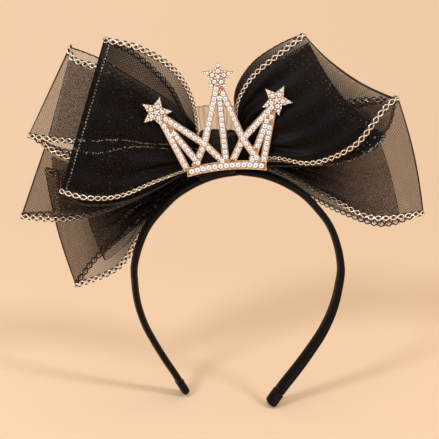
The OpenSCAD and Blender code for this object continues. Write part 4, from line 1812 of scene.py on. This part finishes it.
@dataclass
class CastCrown:
    """The pierced plate of rose gold, its set stones and the grains that hold them."""

    height: float = 0.060
    half: float = 0.038
    thickness: float = 0.0016
    bar_width: float = 0.0041
    foot_height: float = 0.0054
    foot_length: float = 0.0485
    foot_radius: float = 0.118
    star_radius: float = 0.0099
    turn: float = math.radians(5.0)
    shift: float = 0.0085
    rise: float = 0.0079
    seat_gap: float = 0.0003
    foot_stone: float = 0.0031
    bar_stone: float = 0.0027
    star_stone: float = 0.0022
    spread: float = 1.15
    stone_height: float = 0.0010
    stone_gap: float = 0.00012
    # Turn from one stone to the next, so that no two neighbours show the same facets
    stone_turn: float = 2.4
    rim_width: float = 0.00038
    rim_depth: float = 0.0004
    grain: float = 0.00114
    # Distance of the grains from the middle of a bar or of the foot, as a share of its width
    grain_offset: float = 0.31
    # Places of the grains in an arm of a star: [share of its radius, turn in degrees]
    arm_grains: tuple[tuple[float, float], ...] = (
        (0.38, 36), (0.56, 17), (0.56, -17), (0.86, 0), (0.20, 36))
    arm_grain_scale: float = 1.35
    arms: int = 5
    # A bar a row: its head and then its foot, as shares of the half width and the height
    bars: tuple[tuple[float, ...], ...] = (
        (-1.00, 0.62, -0.63, 0.03), (-0.99, 0.61, -0.45, 0.10), (-0.97, 0.62, -0.32, 0.29),
        (-0.32, 0.29, -0.06, 0.10), (-0.03, 0.90, -0.32, 0.29), (-0.32, 0.29, -0.51, 0.06),
        (-0.02, 0.92, 0.00, 0.08), (-0.01, 0.90, 0.30, 0.31), (0.30, 0.31, 0.54, 0.05),
        (0.80, 0.61, 0.30, 0.31), (0.30, 0.31, 0.10, 0.08), (0.81, 0.62, 0.42, 0.08),
        (0.83, 0.62, 0.59, 0.03))
    # A star a row: its middle as shares of the half width and the height, and its turn in degrees
    stars: tuple[tuple[float, ...], ...] = (
        (-1.04, 0.66, -19), (-0.01, 0.97, -5), (0.89, 0.68, -32))
    # A ring of stones in a star: its radius as a share of the star's, and its stones' scale
    star_rings: tuple[tuple[float, float], ...] = ((0.37, 1.12), (0.68, 0.9))

    @property
    def face(self) -> float:
        """Place of the plate's front face along Y."""
        back = -BOW.knot_forward - BOW.knot_depth / 2 - self.seat_gap
        return back - self.thickness

    def place(self, flat: np.ndarray, lift: float) -> np.ndarray:
        """Points of the crown's plane in the model's frame, lifted off the front face.

        Args:
            flat: Points, each across and up.
            lift: Distance from the front face.

        Returns:
            One point a row.
        """
        c, s = math.cos(self.turn), math.sin(self.turn)
        across, up = flat[:, 0] * c - flat[:, 1] * s, flat[:, 0] * s + flat[:, 1] * c
        depth = np.full(len(flat), self.face - lift)
        return np.stack([across - self.shift, depth, up + self.rise], axis=1)

    def foot_row(self) -> list[Disc]:
        """Stones along the curved foot.

        Returns:
            One disc a stone.
        """
        radius = self.foot_radius + self.foot_height / 2
        pitch = self.pitch(self.foot_stone)
        count = int((self.foot_length - self.foot_stone) / pitch)
        angles = [math.pi / 2 + (count / 2 - i) * pitch / radius for i in range(count + 1)]
        return [(radius * math.cos(a), radius * math.sin(a) - self.foot_radius, self.foot_stone)
                for a in angles]

    def pitch(self, stone: float) -> float:
        """Distance between the middles of neighbouring stones in a row."""
        return stone + 4 * self.stone_gap

    def arm_angles(self, lean: float) -> list[float]:
        """Directions of a star's arms, where the star leans by an angle."""
        return [math.pi / 2 + lean + i * math.radians(360 / self.arms) for i in range(self.arms)]

    def star_row(self, star: tuple[float, ...]) -> list[Disc]:
        """Stones of a star: one in the middle and two rings of five.

        Args:
            star: Row of the table of stars.

        Returns:
            One disc a stone.
        """
        x, y, lean = star[0] * self.half, star[1] * self.height, math.radians(star[2])
        made = [(x, y, self.star_stone)]
        for ring, scale in self.star_rings:
            size = self.star_stone * scale
            for a in self.arm_angles(lean):
                made.append((x + ring * self.star_radius * math.cos(a),
                             y + ring * self.star_radius * math.sin(a), size))
        return made

    def bar_ends(self, bar: tuple[float, ...]) -> tuple[np.ndarray, np.ndarray]:
        """Head and foot of a bar in the crown's plane."""
        scale = np.array([self.half, self.height])
        return np.array(bar[:2]) * scale, np.array(bar[2:]) * scale

    def bar_row(self, bar: tuple[float, ...]) -> list[Disc]:
        """Stones along a bar.

        Args:
            bar: Row of the table of bars.

        Returns:
            One disc a stone.
        """
        head, foot = self.bar_ends(bar)
        pitch = self.pitch(self.bar_stone)
        count = int(np.linalg.norm(foot - head) / pitch)
        points = [head + (foot - head) * i / max(count, 1) for i in range(count + 1)]
        return [(p[0], p[1], self.bar_stone) for p in points]

    def settle(self, wanted: list[Disc], kept: list[Disc], gap: float) -> list[Disc]:
        """Adds to the kept discs those wanted ones that crowd none before them.

        Args:
            wanted: Further discs.
            kept: Discs that stay.
            gap: Least distance between two discs.

        Returns:
            The kept discs and then the added ones.
        """
        kept = list(kept)
        for x, y, size in wanted:
            if all(math.hypot(x - k[0], y - k[1]) >= (size + k[2]) / 2 + gap for k in kept):
                kept.append((x, y, size))
        return kept

    def grain_row(self, bar: tuple[float, ...]) -> list[Disc]:
        """Grains along both edges and the middle of a bar, half way between its stones.

        Args:
            bar: Row of the table of bars.

        Returns:
            One disc a grain.
        """
        head, foot = self.bar_ends(bar)
        run = foot - head
        length = float(np.linalg.norm(run))
        pitch = self.pitch(self.bar_stone)
        count = max(int(length / pitch), 1)
        way = run / length
        aside = np.array([-way[1], way[0]])
        made = []
        for i in range(count):
            middle = head + run * (i + 0.5) / count
            for offset in (-self.grain_offset, self.grain_offset, 0.0):
                p = middle + aside * offset * self.bar_width
                made.append((p[0], p[1], self.grain))
        return made

    def foot_grains(self) -> list[Disc]:
        """Grains between the stones of the foot, above and below them.

        Returns:
            One disc a grain.
        """
        stones = self.foot_row()
        made = []
        for a, b in zip(stones, stones[1:]):
            x, y = (a[0] + b[0]) / 2, (a[1] + b[1]) / 2
            offset = self.grain_offset * self.foot_height
            made += [(x, y + side * offset, self.grain) for side in (-1, 1)]
        return made

    def star_grains(self, star: tuple[float, ...]) -> list[Disc]:
        """Grains in a star: in its waists, beside its arms' stones and in its points.

        Args:
            star: Row of the table of stars.

        Returns:
            One disc a grain.
        """
        x, y, lean = star[0] * self.half, star[1] * self.height, math.radians(star[2])
        made = []
        for a in self.arm_angles(lean):
            for reach, turn in self.arm_grains:
                b = a + math.radians(turn)
                made.append((x + reach * self.star_radius * math.cos(b),
                             y + reach * self.star_radius * math.sin(b),
                             self.arm_grain_scale * self.grain))
        return made

    def build(self) -> None:
        """Makes the plate, the stones and the grains."""
        self.plate()
        star_stones = [s for star in self.stars for s in self.star_row(star)]
        wanted = self.foot_row() + [s for bar in self.bars for s in self.bar_row(bar)]
        stones = self.settle(wanted, star_stones, self.stone_gap)
        tree = self.setting_tree()
        star_gems = Setting("star_gems", CLEAR_STONE, "stone", self.stone_gap, self.spread,
                            self.stone_height, nodes=("star_stones",))
        row_gems = replace(star_gems, name="foot_and_bar_gems", nodes=("foot_and_bar_stones",))
        beads_set = Setting("setting_grains", HIGHLIT_BEAD_GOLD, "crown_metal", -self.rim_depth, 1.0,
                            self.grain * 1.5, smooth=True)
        self.set_points(tree, star_gems, star_stones, self.gem_shape())
        self.set_points(tree, row_gems, stones[len(star_stones):], self.gem_shape())
        grains = self.foot_grains() + [g for bar in self.bars for g in self.grain_row(bar)]
        grains += [g for star in self.stars for g in self.star_grains(star)]
        beads = self.settle(grains, stones, -0.2 * self.grain)[len(stones):]
        self.set_points(tree, beads_set, beads, self.grain_shape())

    def plate(self) -> None:
        """Copy of the pierced plate with a raised rim round every bar, window and star."""
        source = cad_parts["crown_frame"]
        work = bmesh.new()
        work.from_mesh(source.data)
        bmesh.ops.remove_doubles(work, verts=work.verts, dist=1e-6)
        bmesh.ops.dissolve_limit(work, angle_limit=math.radians(2), verts=work.verts,
                                 edges=work.edges)
        work.normal_update()
        front = [f for f in work.faces if f.normal.y < -0.99]
        bmesh.ops.inset_region(work, faces=front, thickness=self.rim_width,
                               use_even_offset=False)
        bmesh.ops.inset_region(work, faces=front, thickness=self.rim_width / 4,
                               depth=-self.rim_depth, use_even_offset=False)
        # The sunk front faces take the darker gold, painted shade in the recesses
        for face in front:
            face.material_index = 1
        work.normal_update()
        piece = new_piece("crown_plate", np.zeros((0, 3)), [])
        work.to_mesh(piece.data)
        work.free()
        piece.data.materials.append(ROSE_GOLD.material())
        piece.data.materials.append(SHADED_RECESS_GOLD.material())
        finish_piece(piece, "crown_metal", "crown_frame")

    def setting_tree(self) -> ShapeTree:
        """Builds the nodes that put one shape on each point, at its own size and turn.

        Returns:
            The tree, ready to run on points.
        """
        made = ShapeTree("Set stones", {
            "Shape": ("NodeSocketObject", None),
            "Height": ("NodeSocketFloat", self.stone_height),
            "Finish": ("NodeSocketMaterial", None)})
        graph, given = made.graph, made.given
        shape = graph.node("GeometryNodeObjectInfo", transform_space="ORIGINAL")
        graph.feed(shape.inputs["Object"], given["Shape"])
        size, turn = graph.stored("size"), graph.stored("turn")
        placed = graph.node("GeometryNodeInstanceOnPoints")
        graph.feed(placed.inputs["Points"], given["Geometry"])
        graph.feed(placed.inputs["Instance"], shape.outputs["Geometry"])
        graph.feed(placed.inputs["Rotation"], graph.join(0.0, turn, 0.0))
        graph.feed(placed.inputs["Scale"], graph.join(size, given["Height"], size))
        made.close([(placed.outputs[0], "Finish")])
        return made

    def set_points(self, tree: ShapeTree, setting: Setting, discs: list[Disc],
                   shape: Piece) -> None:
        """Puts a shape on each disc's middle and finishes the piece.

        Args:
            tree: The nodes that set a shape on points.
            setting: How the shape looks and sits.
            discs: Its places.
            shape: The shape, which is removed.
        """
        flat = np.array(discs)
        points = new_piece(f"{setting.name}_points", self.place(flat[:, :2], setting.lift), [])
        add_attribute(points, "size", flat[:, 2] * setting.spread)
        add_attribute(points, "turn", np.arange(len(flat)) * self.stone_turn)
        piece = tree.run(points, setting.name, Shape=shape, Height=setting.height,
                         Finish=setting.finish.material())
        bpy.data.objects.remove(shape)
        if setting.smooth:
            piece.data.polygons.foreach_set("use_smooth", [True] * len(piece.data.polygons))
        finish_piece(piece, setting.slot, *setting.nodes)

    def gem_shape(self) -> Piece:
        """A cut stone of unit width and height, facing -Y, with its foot sunk below its girdle.

        Returns:
            The shape, for instances.
        """
        # Rings from the foot up: [radius, height, half turn]
        rings = ((0.30, -0.50, 0), (0.5, 0.10, 0), (0.5, 0.28, 0), (0.41, 0.66, 1), (0.29, 1.0, 0))
        count = 8
        points = []
        for radius, height, half in rings:
            for j in range(count):
                a = (j + 0.5 * half) * 2 * math.pi / count
                points.append((radius * math.cos(a), -height, radius * math.sin(a)))
        top = (len(rings) - 1) * count
        faces = [tuple(range(count)), tuple(range(top, top + count))[::-1]]
        for i in range(len(rings) - 1):
            shift = rings[i + 1][2] - rings[i][2]
            for j in range(count):
                a, b = i * count + j, i * count + (j + 1) % count
                c, d = a + count, b + count
                if shift == 0:
                    faces.append((a, c, d, b))
                elif shift > 0:
                    faces += [(a, c, b), (b, c, d)]
                else:
                    faces += [(a, c, d), (a, d, b)]
        uv = np.array(points)[:, [0, 2]] * 2
        shape = new_piece("gem_shape", np.array(points), faces, uv, smooth=False)
        outward_faces(shape)
        return shape

    def grain_shape(self) -> Piece:
        """A round bead on a short neck, of unit width and height, facing -Y.

        Returns:
            The shape, for instances.
        """
        # Rings from the foot up: [radius, height]
        rings = ((0.36, -0.2), (0.46, 0.35), (0.48, 0.62), (0.34, 0.88), (0.12, 1.0))
        count = 7
        points = [(r * math.cos(j * 2 * math.pi / count), -h, r * math.sin(j * 2 * math.pi / count))
                  for r, h in rings for j in range(count)]
        faces = grid_faces(len(rings), count, closed=True)
        top = (len(rings) - 1) * count
        faces += [tuple(range(count)), tuple(range(top, top + count))]
        shape = new_piece("grain_shape", np.array(points), faces, np.array(points)[:, [0, 2]] * 2)
        outward_faces(shape)
        return shape


@dataclass(frozen=True)
class SoftLight:
    """A distant soft light: where it stands, how wide it looks and how strong it is."""

    name: str
    azimuth: float
    elevation: float
    width: float
    strength: float


@dataclass
class Studio:
    """Camera, soft lights and the pale floor."""

    elevation: float = math.radians(17.0)
    distance: float = 1.0
    lens: float = 130.17
    target: tuple[float, float, float] = (-0.012915, 0.0, -0.029316)
    floor_z: float = -0.1526
    floor_half: float = 6.0
    sky_strength: float = 0.56
    lamp_colour: Colour = (0.85, 1.0, 1.22)
    # Azimuth in degrees from the front towards the right, then elevation and width in degrees
    lights: tuple[SoftLight, ...] = (
        SoftLight("key_left", -36, 36, 12, 1.25),
        SoftLight("key_right", 56, 36, 12, 1.18),
        SoftLight("top_soft", 10, 78, 60, 0.50),
        SoftLight("front_fill", 4, 16, 50, 0.75))

    def build(self) -> None:
        """Sets the camera, the lights, the sky and the floor."""
        self.camera()
        self.floor()
        for light in self.lights:
            self.lamp(light)
        scene = bpy.context.scene
        scene.world = bpy.data.worlds.new("soft_sky")
        scene.world.use_nodes = True
        graph = Graph(scene.world.node_tree)
        sky = scene.world.node_tree.nodes["Background"]
        height = graph.split(graph.node("ShaderNodeTexCoord").outputs["Generated"])[2]
        graph.feed(sky.inputs[0], graph.mix(
            graph.ramp(height, 0.05, 0.5), (0.11, 0.080, 0.05, 1.0), (1.13, 0.91, 0.66, 1.0)))
        graph.feed(sky.inputs[1], self.sky_strength)
        scene.view_settings.view_transform = "Standard"
        scene.cycles.transparent_max_bounces = 64

    def camera(self) -> None:
        """Puts the camera at the photograph's angle, with no shift and no depth of field."""
        made = bpy.data.cameras.new("front_camera")
        made.lens, made.sensor_width = self.lens, 36.0
        camera = bpy.data.objects.new("front_camera", made)
        back = Vector((0.0, -math.cos(self.elevation), math.sin(self.elevation)))
        camera.location = Vector(self.target) + back * self.distance
        camera.rotation_euler = (math.pi / 2 - self.elevation, 0.0, 0.0)
        bpy.context.scene.collection.objects.link(camera)
        bpy.context.scene.camera = camera

    def lamp(self, light: SoftLight) -> None:
        """Adds a distant soft light.

        Args:
            light: Where it stands and how strong it is.
        """
        made = bpy.data.lights.new(light.name, "SUN")
        made.energy, made.angle = light.strength, math.radians(light.width)
        made.color = self.lamp_colour
        lamp = bpy.data.objects.new(light.name, made)
        turn, rise = math.radians(light.azimuth), math.radians(light.elevation)
        place = Vector((math.sin(turn) * math.cos(rise), -math.cos(turn) * math.cos(rise),
                        math.sin(rise)))
        lamp.location = place
        lamp.rotation_euler = (-place).to_track_quat("-Z", "Y").to_euler()
        bpy.context.scene.collection.objects.link(lamp)

    def floor(self) -> None:
        """Adds a broad matt floor just under the band's ends."""
        h, z = self.floor_half, self.floor_z
        points = np.array([(-h, -h, z), (h, -h, z), (h, h, z), (-h, h, z)])
        floor = new_piece("floor", points, [(0, 1, 2, 3)])
        floor.data.materials.append(PALE_FLOOR.material())
        floor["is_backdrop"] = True


def main() -> None:
    """Builds the studio and then each part of the headband."""
    logging.basicConfig(level=logging.INFO, format="%(message)s")
    Studio().build()
    band = BoundBand()
    band.build()
    WrappedKnot().build(band)
    RibbonBow().build()
    CastCrown().build()
    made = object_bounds()
    low, high = ([round(v, 4) for v in corner] for corner in made)
    log.info("visual box %s to %s", low, high)


if __name__ == "__main__":
    main()
